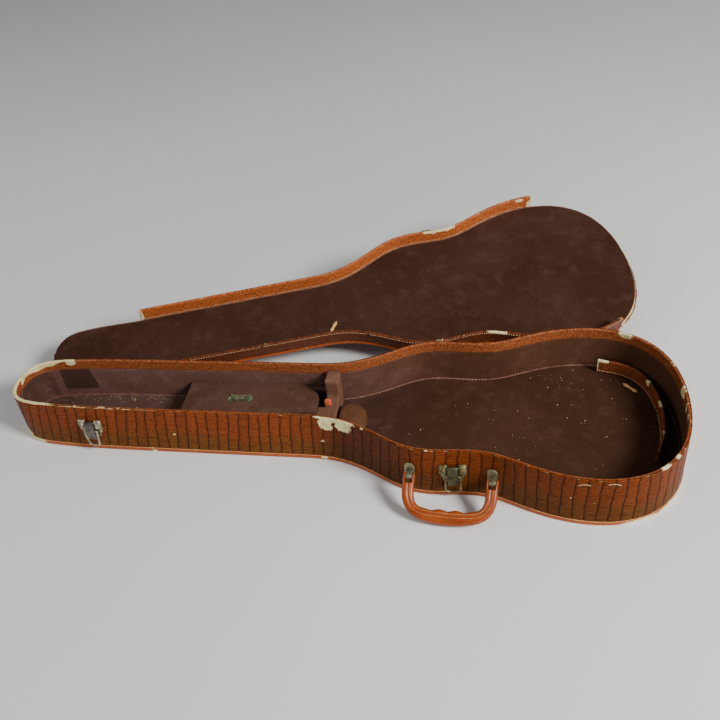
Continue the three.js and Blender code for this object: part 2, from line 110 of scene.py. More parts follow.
class Outline:
    """The closed plan outline, measured by arc length from the head end along the front side."""

    def __init__(self):
        half = spline_half()
        self.loop = np.vstack([half * (1, -1), half[::-1][1:]])
        self.arc = arc_length(self.loop)
        self.length = self.arc[-1]
        tangent = np.gradient(self.loop, axis=0)
        tangent[0] = tangent[-1] = (0, -1)
        tangent /= np.linalg.norm(tangent, axis=1)[:, None]
        self.normal = np.column_stack([tangent[:, 1], -tangent[:, 0]])
        self.count = len(half)

    def at(self, arc, offset=0.0):
        """x and y at arc lengths, moved out from the outline by an offset."""
        arc = np.asarray(arc, float) % self.length
        x = np.interp(arc, self.arc, self.loop[:, 0]) + offset * np.interp(arc, self.arc, self.normal[:, 0])
        y = np.interp(arc, self.arc, self.loop[:, 1]) + offset * np.interp(arc, self.arc, self.normal[:, 1])
        return x, y

    def normals(self, arc):
        """Outward directions in the plan at arc lengths."""
        return np.column_stack([np.interp(arc, self.arc, self.normal[:, i]) for i in (0, 1)])

    def front(self, x):
        """Arc length at x on the front side."""
        return np.interp(x, self.loop[: self.count, 0], self.arc[: self.count])

    def back(self, x):
        """Arc length at x on the back side."""
        return self.length - self.front(x)

    def side(self, name, x0, x1):
        """Arc lengths of both ends of a stretch of the front or back side, the smaller first."""
        return sorted(getattr(self, name)(x) for x in (x0, x1))

    def stations(self, count):
        """Evenly spaced arc lengths all the way round."""
        return np.linspace(0, self.length, count, endpoint=False)

    def half_width(self, x, offset=0.0):
        """Half the width at x of the outline moved out by offset."""
        xs, ys = self.at(self.arc[: self.count], offset)
        order = np.argsort(xs)
        return np.interp(x, xs[order], -ys[order])


def arc_length(path):
    """Distance along a line of points from its start."""
    return np.concatenate([[0], np.cumsum(np.linalg.norm(np.diff(path, axis=0), axis=1))])


OUTLINE = Outline()


# ---- small tools ----
def smooth_noise(*coords, seed):
    """Smooth pseudo-random values from sums of sines, about -1 to 1, for arrays of coordinates."""
    rng = Random(seed)
    total = 0.0
    for octave in range(9):
        scale = 2 ** (octave // 3)
        phase = rng.uniform(0, 2 * math.pi)
        wave = sum(c * rng.uniform(0.6, 1.4) * scale * rng.choice((-1, 1)) for c in coords)
        total = total + np.sin(wave + phase) / scale
    return total / 3.0


def smoothstep(x, low, high):
    """0 below low, 1 above high, and smooth between."""
    t = np.clip((x - low) / (high - low), 0, 1)
    return t * t * (3 - 2 * t)


def ellipses(x, z, spots):
    """How far inside a set of ellipses each point is: 0.5 on an edge, 1 at a middle."""
    field = np.zeros(np.broadcast(x, z).shape)
    for cx, cz, rx, rz in spots:
        reach = np.sqrt(((x - cx) / rx) ** 2 + ((z - cz) / rz) ** 2)
        field = np.maximum(field, np.clip(1 - 0.5 * reach, 0, 1))
    return field


def widened(stations, count):
    """The same arc lengths repeated across a section of so many points."""
    return np.repeat(stations[:, None], count, axis=1)


def turns(count):
    """Evenly spaced angles of a full turn."""
    return np.linspace(0, 2 * math.pi, count, endpoint=False)


def catmull_rom(control, count):
    """A smooth line through control points."""
    control = np.array(control, float)
    padded = np.vstack([2 * control[0] - control[1], control, 2 * control[-1] - control[-2]])
    t = np.linspace(0, len(control) - 1, count)
    k = np.minimum(t.astype(int), len(control) - 2)
    f = (t - k)[:, None]
    p0, p1, p2, p3 = (padded[k + i] for i in range(4))
    return 0.5 * (2 * p1 + (p2 - p0) * f + (2 * p0 - 5 * p1 + 4 * p2 - p3) * f ** 2
                  + (3 * p1 - p0 - 3 * p2 + p3) * f ** 3)


def resample(path, step):
    """The same line in even steps, with its corners eased."""
    arc = arc_length(path)
    s = np.linspace(0, arc[-1], max(2, int(arc[-1] / step) + 1))
    out = np.column_stack([np.interp(s, arc, path[:, i]) for i in range(path.shape[1])])
    for _ in range(3):
        out[1:-1] = (out[:-2] + 2 * out[1:-1] + out[2:]) / 4
    return out


def placed(points, matrix):
    """Points moved by a matrix that works in metres."""
    if matrix is None:
        return points
    return np.array([matrix @ Vector(p * MM) for p in points]) / MM


def unit_tangents(path):
    """Direction of a line at each of its points."""
    tangent = np.gradient(path, axis=0)
    return tangent / np.linalg.norm(tangent, axis=1)[:, None]


# ---- meshes and objects ----
def settle(obj, body, replaces=()):
    """Say what an object rides on, which CAD nodes it replaces."""
    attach(obj, body)
    if replaces:
        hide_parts(*replaces)
    return obj


def finish_object(mesh, material, body, replaces, sharp):
    """Make the object of a finished mesh, with one material and smooth faces between sharp edges."""
    mesh.materials.clear()
    mesh.materials.append(material)
    mesh.shade_smooth()
    mesh.set_sharp_from_angle(angle=math.radians(sharp))
    obj = bpy.data.objects.new(mesh.name, mesh)
    bpy.context.scene.collection.objects.link(obj)
    return settle(obj, body, replaces)


def edit(mesh, *steps):
    """Run steps on a mesh as a bmesh, then turn its normals outwards."""
    bm = bmesh.new()
    bm.from_mesh(mesh)
    for step in steps:
        step(bm)
    bmesh.ops.recalc_face_normals(bm, faces=bm.faces)
    bm.to_mesh(mesh)
    bm.free()


def weld(distance):
    """A step that joins vertices closer than a distance in metres."""
    return lambda bm: bmesh.ops.remove_doubles(bm, verts=bm.verts, dist=distance)


def flatten(bm):
    """A step that merges faces which lie in one plane."""
    bmesh.ops.dissolve_limit(bm, angle_limit=math.radians(1.5), verts=bm.verts, edges=bm.edges)


def fill_holes(bm):
    """A step that closes open ends."""
    bmesh.ops.holes_fill(bm, edges=[e for e in bm.edges if e.is_boundary])


def bevel(width, segments, angle):
    """A step that rounds over the edges sharper than an angle."""
    def step(bm):
        edges = [e for e in bm.edges if len(e.link_faces) == 2 and e.calc_face_angle(0) > math.radians(angle)]
        bmesh.ops.bevel(bm, geom=edges, offset=width * MM, segments=segments, profile=0.5, affect="EDGES",
                        clamp_overlap=True)
    return step


def add_wear_and_painted_light(mesh, wear_and_painted_light):
    """Store how worn each vertex is, 0 to 1, for the materials; on the grip and the tray's top edge it also
    holds painted highlight, and on the wall lining painted shade at the head end.
    """
    layer = mesh.attributes.new("wear_and_painted_light", "FLOAT", "POINT")
    layer.data.foreach_set("value", np.asarray(wear_and_painted_light, np.float32).ravel())


def make_object(name, vertices, faces, material, body, replaces=(), sharp=40.0, wear_and_painted_light=None, uv=None):
    """An object from vertices in millimetres and faces."""
    mesh = bpy.data.meshes.new(name)
    mesh.from_pydata([tuple(float(c) * MM for c in v) for v in vertices], [], faces)
    if wear_and_painted_light is not None:
        add_wear_and_painted_light(mesh, wear_and_painted_light)
    if uv is not None:
        layer = mesh.uv_layers.new(name="place")
        layer.data.foreach_set("uv", np.asarray(uv, np.float32).ravel())
    edit(mesh, weld(1e-6))
    return finish_object(mesh, material, body, replaces, sharp)


def grid(name, points, material, body, replaces=(), close_u=False, close_v=False, caps=False,
         wear_and_painted_light=None, u=None, v=None, sharp=40.0, matrix=None):
    """A surface over an array of points [across][along]; u and v are its coordinates for the materials."""
    points = np.asarray(points, float)
    n, m = points.shape[:2]
    u = np.arange(n + 1, dtype=float) if u is None else np.append(u, u[-1])
    v = np.arange(m + 1, dtype=float) if v is None else np.append(v, v[0])
    faces, uv = [], []
    for i in range(n if close_u else n - 1):
        for j in range(m if close_v else m - 1):
            corners = [(i, j), (i + 1, j), (i + 1, j + 1), (i, j + 1)]
            faces.append([(a % n) * m + b % m for a, b in corners])
            uv.extend((u[a], v[b]) for a, b in corners)
    if caps:
        for i in (0, n - 1):
            faces.append([i * m + j for j in range(m)])
            uv.extend((u[i], v[j]) for j in range(m))
    flat = placed(points.reshape(-1, 3), matrix)
    return make_object(name, flat, faces, material, body, replaces, sharp, wear_and_painted_light, uv)


def paint_rows(obj, material, rows, first, last):
    """Give the strips from row first to row last of every station a second material."""
    obj.data.materials.append(material)
    for polygon in obj.data.polygons:
        if first <= polygon.index % rows < last:
            polygon.material_index = 1


def swept(stations, profile):
    """Points of a profile of (offset, z) swept along the outline at the given arc lengths."""
    profile = np.asarray(profile, float)
    if stations.ndim == 1:
        stations = widened(stations, len(profile))
    x, y = OUTLINE.at(stations, np.broadcast_to(profile[:, 0], stations.shape))
    return np.stack([x, y, np.broadcast_to(profile[:, 1], stations.shape)], axis=-1)


def rounded_copy(node, name, material, body, width=0.5, segments=2):
    """A copy of a CAD node with its flat faces merged and its edges rounded over."""
    mesh = frame["nodes"][node].data.copy()
    mesh.name = name
    edit(mesh, weld(1e-5), flatten, bevel(width, segments, 32))
    return finish_object(mesh, material, body, (node,), 35)


def recolor(node, material):
    """Give a CAD node that stays as it is a finished material."""
    mesh = frame["nodes"][node].data
    mesh.materials.clear()
    mesh.materials.append(material)


def extruded(name, outline, low, high, material, body, replaces, width, segments, axis):
    """A closed outline pushed along an axis, with its edges rolled over."""
    place = "xyz".index(axis)
    vertices = []
    for level in (low, high):
        for pair in outline:
            co = list(pair)
            co.insert(place, level)
            vertices.append([c * MM for c in co])
    count = len(outline)
    faces = [list(range(count)), list(range(count, 2 * count))]
    for i in range(count):
        j = (i + 1) % count
        faces.append([i, j, count + j, count + i])
    mesh = bpy.data.meshes.new(name)
    mesh.from_pydata(vertices, [], faces)
    edit(mesh)
    edit(mesh, bevel(width, segments, 25))
    return finish_object(mesh, material, body, replaces, 40)


def read_vertices(mesh, key="co"):
    """Places or normals of the vertices, as rows of three."""
    values = np.empty(len(mesh.vertices) * 3)
    mesh.vertices.foreach_get(key, values)
    return values.reshape(-1, 3)


def write_vertices(mesh, co):
    """Move the vertices to new places."""
    mesh.vertices.foreach_set("co", co.ravel())
    mesh.update()


def remesh(obj, material, voxel, smoothing=0):
    """Give an object an even mesh, with so many steps of smoothing."""
    modifier = obj.modifiers.new("remesh", "REMESH")
    modifier.mode = "VOXEL"
    modifier.voxel_size = voxel * MM
    if smoothing:
        smooth = obj.modifiers.new("smooth", "SMOOTH")
        smooth.factor = 0.5
        smooth.iterations = smoothing
    graph = bpy.context.evaluated_depsgraph_get()
    mesh = bpy.data.meshes.new_from_object(obj.evaluated_get(graph))
    obj.modifiers.clear()
    obj.data = mesh
    mesh.materials.clear()
    mesh.materials.append(material)
    mesh.shade_smooth()
    return mesh


def wire(name, path, radius, material, body, replaces=(), sides=14):
    """A round wire along a smooth line of points, closed at both ends."""
    path = np.asarray(path, float)
    tangent = unit_tangents(path)
    guide = np.cross(tangent[0], (0.3, 0.9, 0.1))
    rows = []
    for p, t in zip(path, tangent):
        guide = guide - np.dot(guide, t) * t
        guide /= np.linalg.norm(guide)
        other = np.cross(t, guide)
        rows.append([p + radius * (math.cos(a) * guide + math.sin(a) * other) for a in turns(sides)])
    return grid(name, rows, material, body, replaces, close_v=True, caps=True)


def dome(name, at, axis, radius, height, material, body, cut=0.0):
    """A rivet or screw head: a low dome, with a slot of the given depth if it is a screw."""
    turn = Vector((0, 0, 1)).rotation_difference(Vector(axis).normalized()).to_matrix()
    rings = [(1.0, 0.0), (1.0, 0.25), (0.93, 0.55), (0.75, 0.82), (0.45, 0.97), (0.06, 1.0)]
    points = []
    for a in turns(24):
        line = []
        for r, h in rings:
            px, py, pz = r * radius * math.cos(a), r * radius * math.sin(a), h * height
            if abs(py) < radius * 0.16 and h > 0.5:
                pz -= cut
            line.append(Vector(at) + turn @ Vector((px, py, pz)))
        points.append(line)
    edit(grid(name, points, material, body, close_u=True, sharp=30).data, fill_holes)


def stitch_line(name, path, normal, offset, z, body, matrix=None, pitch=4.4, length=2.6, radius=0.6):
    """A row of stitches as short rounded threads, all in one piece."""
    arc = arc_length(path)
    rng = Random(name)
    sides, sections = 6, ((0.55, 0.0), (1.0, 0.22), (1.0, 0.22), (0.55, 0.0))
    vertices, faces = [], []
    s = 3.0
    while s < arc[-1] - 4:
        end = s + length * rng.uniform(0.8, 1.1)
        if rng.random() < 0.94:
            base = len(vertices)
            for a, (size, rise) in zip(np.linspace(s, end, len(sections)), sections):
                px, py = (np.interp(a, arc, path[:, i]) for i in (0, 1))
                nx, ny = (np.interp(a, arc, normal[:, i]) for i in (0, 1))
                for turn in turns(sides):
                    out = offset + math.copysign(rise, offset) + radius * size * math.cos(turn)
                    vertices.append((px + nx * out, py + ny * out, z + radius * size * math.sin(turn)))
            for k in range(len(sections) - 1):
                for i in range(sides):
                    a, b = base + k * sides + i, base + k * sides + (i + 1) % sides
                    faces.append([a, b, b + sides, a + sides])
            faces.append([base + i for i in range(sides)])
            faces.append([base + (len(sections) - 1) * sides + i for i in range(sides)])
        s += pitch * rng.uniform(0.94, 1.06)
    return make_object(name, placed(np.array(vertices), matrix), faces, THREAD, body)


# ---- materials ----
class Paint:
    """A short way to write a node material."""

    def __init__(self, name):
        self.material = bpy.data.materials.new(name)
        self.material.use_nodes = True
        self.tree = self.material.node_tree
        self.tree.nodes.clear()
        self.place = self.add("ShaderNodeTexCoord").outputs["Object"]

    def add(self, kind, **settings):
        node = self.tree.nodes.new(kind)
        for key, value in settings.items():
            setattr(node, key, value)
        return node

    def put(self, socket, value):
        """Link a socket, or set a number or colour."""
        if isinstance(value, bpy.types.NodeSocket):
            self.tree.links.new(value, socket)
        elif isinstance(value, tuple) and len(value) == 3 and socket.type == "RGBA":
            socket.default_value = (*value, 1)
        else:
            socket.default_value = value

    def math(self, operation, *values):
        node = self.add("ShaderNodeMath", operation=operation)
        for socket, value in zip(node.inputs, values):
            self.put(socket, value)
        return node.outputs[0]

    def plus(self, a, b):
        return self.math("ADD", a, b)

    def minus(self, a, b):
        return self.math("SUBTRACT", a, b)

    def times(self, a, b):
        return self.math("MULTIPLY", a, b)

    def line(self, x, slope, start):
        """x * slope + start"""
        return self.math("MULTIPLY_ADD", x, slope, start)

    def inverse(self, x):
        """1 - x"""
        return self.math("SUBTRACT", 1.0, x)

    def from_half(self, x):
        """How far the fraction of x is from a half."""
        return self.math("ABSOLUTE", self.minus(self.math("FRACT", x), 0.5))

    def step(self, value, low, high):
        node = self.add("ShaderNodeMapRange", interpolation_type="SMOOTHSTEP", clamp=True)
        for key, setting in (("Value", value), ("From Min", low), ("From Max", high)):
            self.put(node.inputs[key], setting)
        return node.outputs["Result"]

    def scaled(self, x, y, z):
        """The place in the piece, with a scale of its own along each axis."""
        node = self.add("ShaderNodeMapping")
        self.put(node.inputs["Vector"], self.place)
        node.inputs["Scale"].default_value = (x, y, z)
        return node.outputs["Vector"]

    def noise(self, scale, detail=3.0, rough=0.5, source=None, distortion=0.0):
        node = self.add("ShaderNodeTexNoise")
        self.put(node.inputs["Vector"], source or self.place)
        settings = {"Scale": scale, "Detail": detail, "Roughness": rough, "Distortion": distortion}
        for key, value in settings.items():
            node.inputs[key].default_value = value
        return node.outputs["Fac"]

    def stretched(self, u, v, scale_u, scale_v, detail, rough):
        """Noise over two coordinates, each with a scale of its own."""
        place = self.vector(self.times(u, scale_u), self.times(v, scale_v))
        return self.noise(1.0, detail, rough, source=place)

    def cells(self, scale):
        node = self.add("ShaderNodeTexVoronoi", feature="F1")
        self.put(node.inputs["Vector"], self.place)
        node.inputs["Scale"].default_value = scale
        return node.outputs["Distance"]

    def random(self, value):
        node = self.add("ShaderNodeTexWhiteNoise", noise_dimensions="1D")
        self.put(node.inputs["W"], value)
        return node.outputs["Value"]

    def mix(self, factor, a, b, blend="MIX"):
        """b where the factor is 1 and a where it is 0."""
        node = self.add("ShaderNodeMix", data_type="RGBA", blend_type=blend)
        self.put(node.inputs["Factor"], factor)
        self.put(node.inputs[6], a)
        self.put(node.inputs[7], b)
        return node.outputs[2]

    def over(self, tone, amount, share, color):
        """The tone with a share of another colour laid over it where the amount is 1."""
        return self.mix(self.times(amount, share), tone, color)

    # The stored wear, which on some pieces also holds painted highlight and painted shade.
    def wear_and_painted_light(self):
        return self.add("ShaderNodeAttribute", attribute_name="wear_and_painted_light").outputs["Fac"]

    def uv(self):
        split = self.add("ShaderNodeSeparateXYZ")
        self.put(split.inputs[0], self.add("ShaderNodeUVMap", uv_map="place").outputs["UV"])
        return split.outputs[0], split.outputs[1]

    def xyz(self):
        split = self.add("ShaderNodeSeparateXYZ")
        self.put(split.inputs[0], self.place)
        return split.outputs

    def vector(self, x, y):
        node = self.add("ShaderNodeCombineXYZ")
        for socket, value in zip(node.inputs, (x, y)):
            self.put(socket, value)
        return node.outputs[0]

    def bump(self, height, distance, strength):
        node = self.add("ShaderNodeBump")
        node.inputs["Strength"].default_value = strength
        node.inputs["Distance"].default_value = distance * MM
        self.put(node.inputs["Height"], height)
        return node.outputs[0]

    def finish(self, color, roughness, normal=None, metallic=0.0, **fixed):
        shader = self.add("ShaderNodeBsdfPrincipled")
        self.put(shader.inputs["Base Color"], color)
        self.put(shader.inputs["Roughness"], roughness)
        self.put(shader.inputs["Metallic"], metallic)
        if normal is not None:
            self.put(shader.inputs["Normal"], normal)
        for key, value in fixed.items():
            self.put(shader.inputs[key.replace("_", " ")], value)
        output = self.add("ShaderNodeOutputMaterial")
        self.tree.links.new(shader.outputs[0], output.inputs["Surface"])
        return self.material


BARE = (0.86, 0.73, 0.38)
BARE_DARK = (0.62, 0.46, 0.21)


def bare_board(p):
    """Colour of the raw fibre board that shows where the covering is gone."""
    patchy = p.noise(60, 4, 0.6)
    fibre = p.noise(900, 2, 0.6)
    base = p.mix(p.step(patchy, 0.25, 0.5), BARE_DARK, BARE)
    return p.over(base, p.step(fibre, 0.55, 0.75), 0.35, (0.24, 0.17, 0.09))


def worn_through(p):
    """0 where the covering is whole and 1 where it is gone, with a ragged edge."""
    ragged = p.times(p.minus(p.noise(300, 4, 0.6), 0.5), 0.45)
    return p.step(p.plus(p.wear_and_painted_light(), ragged), 0.45, 0.55)


def emboss_tone(p, phase, height, cell):
    """Colour and relief of one embossed cell: fine creases and a few deeper lines across it."""
    warp = p.stretched(phase, height, 3.1, 0.13, 2, 0.5)
    rows = p.plus(p.times(height, 0.052), p.line(warp, 0.5, p.times(cell, 3.7)))
    brick = p.inverse(p.step(p.from_half(rows), 0.0, 0.055))
    some = p.step(p.stretched(phase, height, 1.7, 0.07, 2, 0.6), 0.38, 0.6)
    brick = p.times(brick, some)
    ripple = p.stretched(phase, height, 2.2, 0.24, 3, 0.6)
    fine = p.plus(p.times(height, 0.19), p.line(ripple, 1.9, p.times(cell, 2.0)))
    crease = p.inverse(p.step(p.from_half(fine), 0.0, 0.26))
    faint = p.step(p.stretched(phase, height, 4.0, 0.3, 3, 0.6), 0.25, 0.5)
    return brick, p.times(crease, faint)


def embossed_leatherette():
    """Outer covering: tall cells between dark wavy joints, crossed by fine creases."""
    p = Paint("embossed_leatherette")
    along, height = p.uv()
    phase = p.math("DIVIDE", along, CELL_PITCH)
    nearest = p.from_half(p.plus(phase, 0.5))
    from_joint = p.times(nearest, CELL_PITCH)
    cell = p.random(p.math("FLOOR", phase))
    uneven = p.stretched(phase, height, 5.0, 0.16, 3, 0.6)
    width = p.line(uneven, 1.7, -0.70)
    joint = p.inverse(p.step(p.minus(from_joint, width), 0.0, 0.5))
    halo = p.inverse(p.step(from_joint, 0.4, 3.8))
    brick, crease = emboss_tone(p, phase, height, cell)
    drift = p.noise(9, 3, 0.6)
    fine = p.noise(420, 3, 0.6)
    low = p.inverse(p.step(height, 5, 78))
    mixed = p.plus(low, p.line(drift, 0.9, -0.45))
    tone = p.mix(p.step(mixed, 0.15, 0.95), (0.250, 0.050, 0.010), (0.158, 0.056, 0.008))
    tone = p.over(tone, cell, 0.35, (0.12, 0.024, 0.005))
    x = p.xyz()[0]
    # Painted shade: the flare from the waist to the lower bout faces away from the key light, and its tone is
    # darkened there.
    flare_shade = p.times(p.step(x, -0.05, 0.03), p.inverse(p.step(x, 0.09, 0.17)))
    tone = p.mix(p.step(x, 0.09, 0.26), tone, p.mix(1.0, tone, (0.64, 0.60, 0.22), "MULTIPLY"))
    tone = p.mix(flare_shade, tone, p.mix(1.0, tone, (0.44, 0.42, 0.36), "MULTIPLY"))
    tone = p.over(tone, p.step(fine, 0.45, 0.8), 0.35, (0.36, 0.10, 0.022))
    tone = p.over(tone, crease, 0.66, (0.045, 0.011, 0.003))
    tone = p.over(tone, brick, 0.80, (0.030, 0.008, 0.002))
    tone = p.over(tone, halo, 0.42, (0.06, 0.014, 0.004))
    tone = p.mix(joint, tone, (0.008, 0.003, 0.002))
    pale = p.step(p.noise(150, 5, 0.7), 0.62, 0.72)
    tone = p.over(tone, pale, 0.30, (0.48, 0.19, 0.06))
    gone = worn_through(p)
    color = p.mix(gone, tone, bare_board(p))
    relief = p.plus(p.times(crease, -0.6), p.times(brick, -0.9))
    relief = p.plus(relief, p.times(joint, -1.2))
    relief = p.plus(relief, p.times(fine, 0.4))
    rough = p.plus(p.times(gone, 0.45), p.line(fine, 0.25, 0.33))
    return p.finish(color, rough, p.bump(relief, 0.5, 1.0), Specular_IOR_Level=0.08)


def flat_embossing():
    """The lid's outside: the embossed pattern laid flat, with scuffs."""
    p = Paint("embossed_leatherette_flat")
    x, y = p.xyz()[:2]
    warp = p.noise(22, 2, 0.5)
    along = p.plus(p.times(x, 1000 / CELL_PITCH), p.times(warp, 0.9))
    nearest = p.from_half(along)
    column = p.random(p.math("FLOOR", along))
    uneven = p.noise(120, 3, 0.6)
    joint = p.inverse(p.step(p.minus(0.5, nearest), p.times(uneven, 0.03), 0.075))
    rows = p.plus(p.times(y, 1000 / 31.0), p.plus(p.times(column, 3.0), p.times(warp, 1.2)))
    across = p.from_half(rows)
    brick = p.inverse(p.step(across, 0.01, 0.06))
    creases = p.noise(1.0, 3, 0.65, source=p.scaled(90, 420, 90))
    crease = p.inverse(p.step(p.math("ABSOLUTE", p.minus(creases, 0.5)), 0.0, 0.04))
    drift = p.noise(7, 4, 0.6)
    tone = p.mix(p.step(drift, 0.3, 0.7), (0.225, 0.046, 0.008), (0.150, 0.046, 0.007))
    tone = p.over(tone, column, 0.35, (0.12, 0.026, 0.006))
    tone = p.over(tone, crease, 0.5, (0.06, 0.018, 0.006))
    tone = p.over(tone, brick, 0.85, (0.030, 0.010, 0.004))
    tone = p.mix(joint, tone, (0.012, 0.005, 0.003))
    scuff = p.step(p.noise(55, 5, 0.7), 0.62, 0.72)
    tone = p.over(tone, scuff, 0.35, (0.42, 0.2, 0.09))
    gone = worn_through(p)
    color = p.mix(gone, tone, bare_board(p))
    relief = p.plus(p.times(joint, -1.2), p.plus(p.times(brick, -0.8), p.times(crease, -0.5)))
    rough = p.plus(p.times(gone, 0.45), 0.40)
    return p.finish(color, rough, p.bump(relief, 0.4, 0.9), Specular_IOR_Level=0.14)


def grained_leatherette(name, tint, shade, light):
    """Turned-in covering and rim faces: a fine grain drawn out across the band."""
    p = Paint(name)
    along, across = p.uv()
    strokes = p.stretched(along, across, 0.60, 0.17, 3, 0.7)
    broad = p.stretched(along, across, 0.12, 0.2, 3, 0.6)
    pebble = p.cells(600)
    tone = p.mix(p.step(broad, 0.3, 0.7), tint, shade)
    tone = p.over(tone, p.step(strokes, 0.48, 0.60), 0.75, tuple(c * 0.30 for c in shade))
    tone = p.over(tone, p.step(strokes, 0.44, 0.34), 0.55, light)
    tone = p.over(tone, p.step(pebble, 0.35, 0.7), 0.35, tuple(c * 0.45 for c in shade))
    speck = p.step(p.noise(260, 4, 0.7), 0.66, 0.72)
    tone = p.over(tone, speck, 0.5, (0.66, 0.33, 0.12))
    gone = worn_through(p)
    color = p.mix(gone, tone, bare_board(p))
    normal = p.bump(p.plus(p.times(pebble, -0.7), p.times(strokes, -2.0)), 0.3, 0.9)
    rough = p.plus(p.times(gone, 0.4), 0.42)
    return p.finish(color, rough, normal, Specular_IOR_Level=0.25)


def binding_vinyl():
    """The smooth strip round the foot: a pale bead over a dark groove, with scuffs."""
    p = Paint("binding_vinyl")
    height = p.uv()[1]
    drift = p.noise(12, 4, 0.6)
    fine = p.noise(320, 4, 0.65)
    tone = p.mix(p.step(drift, 0.3, 0.75), (0.46, 0.085, 0.010), (0.32, 0.055, 0.008))
    tone = p.over(tone, p.step(fine, 0.5, 0.8), 0.4, (0.66, 0.20, 0.035))
    bead = p.times(p.step(height, 6.3, 6.9), p.inverse(p.step(height, 8.2, 9.0)))
    tone = p.over(tone, bead, 0.65, (0.74, 0.40, 0.16))
    dark = p.inverse(p.step(p.math("ABSOLUTE", p.minus(height, 6.0)), 0.15, 0.5))
    tone = p.over(tone, dark, 0.7, (0.07, 0.016, 0.005))
    scuff = p.step(p.noise(75, 5, 0.7), 0.62, 0.70)
    tone = p.over(tone, scuff, 0.5, (0.16, 0.05, 0.02))
    gone = worn_through(p)
    color = p.mix(gone, tone, bare_board(p))
    return p.finish(color, p.line(fine, 0.3, 0.28), p.bump(fine, 0.2, 0.6), Specular_IOR_Level=0.35)


def plush(name, low, high, dusty, dust=0.5, browner=None):
    """Short worn nap: mottled, with paler rubbed places and grains of dust."""
    p = Paint(name)
    broad = p.noise(6, 4, 0.6, distortion=0.4)
    patch = p.noise(38, 4, 0.65)
    nap = p.noise(1500, 2, 0.6)
    weave = p.noise(420, 3, 0.6)
    tone = p.mix(p.step(broad, 0.32, 0.70), low, high)
    tone = p.over(tone, p.step(patch, 0.45, 0.75), 0.45, dusty)
    tone = p.over(tone, p.step(weave, 0.4, 0.8), 0.5, tuple(c * 0.45 for c in low))
    tone = p.over(tone, p.step(nap, 0.5, 0.85), 0.35, tuple(min(1, c * 1.9) for c in high))
    grain = p.inverse(p.step(p.cells(150), 0.05, 0.10))
    some = p.step(p.noise(45, 3, 0.7), 0.56, 0.66)
    tone = p.over(tone, p.times(grain, some), dust, (0.40, 0.30, 0.20))
    if browner is not None:
        tone = p.mix(p.step(p.xyz()[0], -0.10, 0.18), tone, p.mix(1.0, tone, browner, "MULTIPLY"))
    # Darkened where the mark is set: on the wall lining a dark patch near the head and painted shade at the
    # head end.
    mark = p.step(p.plus(p.wear_and_painted_light(), p.line(patch, 0.5, -0.25)), 0.4, 0.6)
    tone = p.over(tone, mark, 0.75, tuple(c * 0.35 for c in low))
    normal = p.bump(p.plus(nap, p.times(weave, 1.5)), 0.35, 0.8)
    return p.finish(tone, 0.92, normal, Specular_IOR_Level=0.03)


def raw_board():
    """The torn fibre board of the wall and rim."""
    p = Paint("raw_board")
    fibre = p.noise(500, 4, 0.7, source=p.scaled(1, 1, 3))
    return p.finish(bare_board(p), 0.93, p.bump(fibre, 0.5, 0.9), Specular_IOR_Level=0.1)


def tarnished(name, bright, dull, crust, metallic=0.85):
    """Plated metal gone dull, with a crust in patches."""
    p = Paint(name)
    drift = p.noise(110, 5, 0.65)
    fine = p.noise(900, 3, 0.6)
    tone = p.mix(p.step(drift, 0.35, 0.65), bright, dull)
    crusty = p.step(p.noise(190, 5, 0.7), 0.54, 0.66)
    tone = p.over(tone, crusty, 0.8, crust)
    rough = p.plus(p.times(crusty, 0.3), p.line(fine, 0.3, 0.25))
    metal = p.minus(metallic, p.times(crusty, 0.6))
    return p.finish(tone, rough, p.bump(p.plus(drift, fine), 0.25, 0.6), metal)


def handle_plastic():
    """Moulded plastic, streaked, with some grime, pale where the grip is marked beside its groove: partly
    rubbed wear and partly painted highlight.
    """
    p = Paint("handle_plastic")
    streak = p.noise(1.0, 4, 0.6, source=p.scaled(14, 60, 60))
    fine = p.noise(380, 4, 0.65)
    tone = p.mix(p.step(streak, 0.35, 0.7), (0.31, 0.056, 0.006), (0.21, 0.035, 0.004))
    tone = p.over(tone, p.step(fine, 0.5, 0.8), 0.3, (0.55, 0.18, 0.05))
    # Pale where the mark is set: on the grip a line that is partly rubbed wear and partly painted highlight.
    rub_and_highlight = p.step(p.plus(p.wear_and_painted_light(), p.line(p.noise(160, 4, 0.7), 0.6, -0.3)), 0.35, 0.75)
    tone = p.over(tone, rub_and_highlight, 0.6, (0.70, 0.33, 0.15))
    grime = p.step(p.noise(90, 5, 0.7), 0.60, 0.72)
    tone = p.over(tone, grime, 0.45, (0.14, 0.045, 0.018))
    return p.finish(tone, p.line(fine, 0.25, 0.22), p.bump(fine, 0.12, 0.5), Specular_IOR_Level=0.35)


def plain_cloth(name, color, light):
    """A fine weave in two tones."""
    p = Paint(name)
    weave = p.noise(900, 3, 0.6)
    tone = p.mix(p.step(weave, 0.35, 0.75), color, light)
    return p.finish(tone, 0.7, p.bump(weave, 0.25, 0.8), Specular_IOR_Level=0.3)


def wood_splinter():
    """Split wood with a grain along the piece."""
    p = Paint("splinter_wood")
    grain = p.noise(1.0, 4, 0.6, source=p.scaled(60, 900, 900))
    tone = p.mix(p.step(grain, 0.3, 0.7), (0.66, 0.31, 0.09), (0.90, 0.58, 0.22))
    return p.finish(tone, 0.75, p.bump(grain, 0.3, 0.8), Specular_IOR_Level=0.2)


CROC = embossed_leatherette()
CROC_FLAT = flat_embossing()
GRAIN = grained_leatherette(
    "turned_in_leatherette", (0.43, 0.118, 0.036), (0.29, 0.072, 0.022), (0.60, 0.25, 0.09))
# A darker copy of the rim's grain for the back rim: painted shade.
RIM_GRAIN_PAINTED_SHADE = grained_leatherette(
    "rim_leatherette_painted_shade", (0.20, 0.046, 0.012), (0.14, 0.030, 0.009), (0.34, 0.12, 0.045))
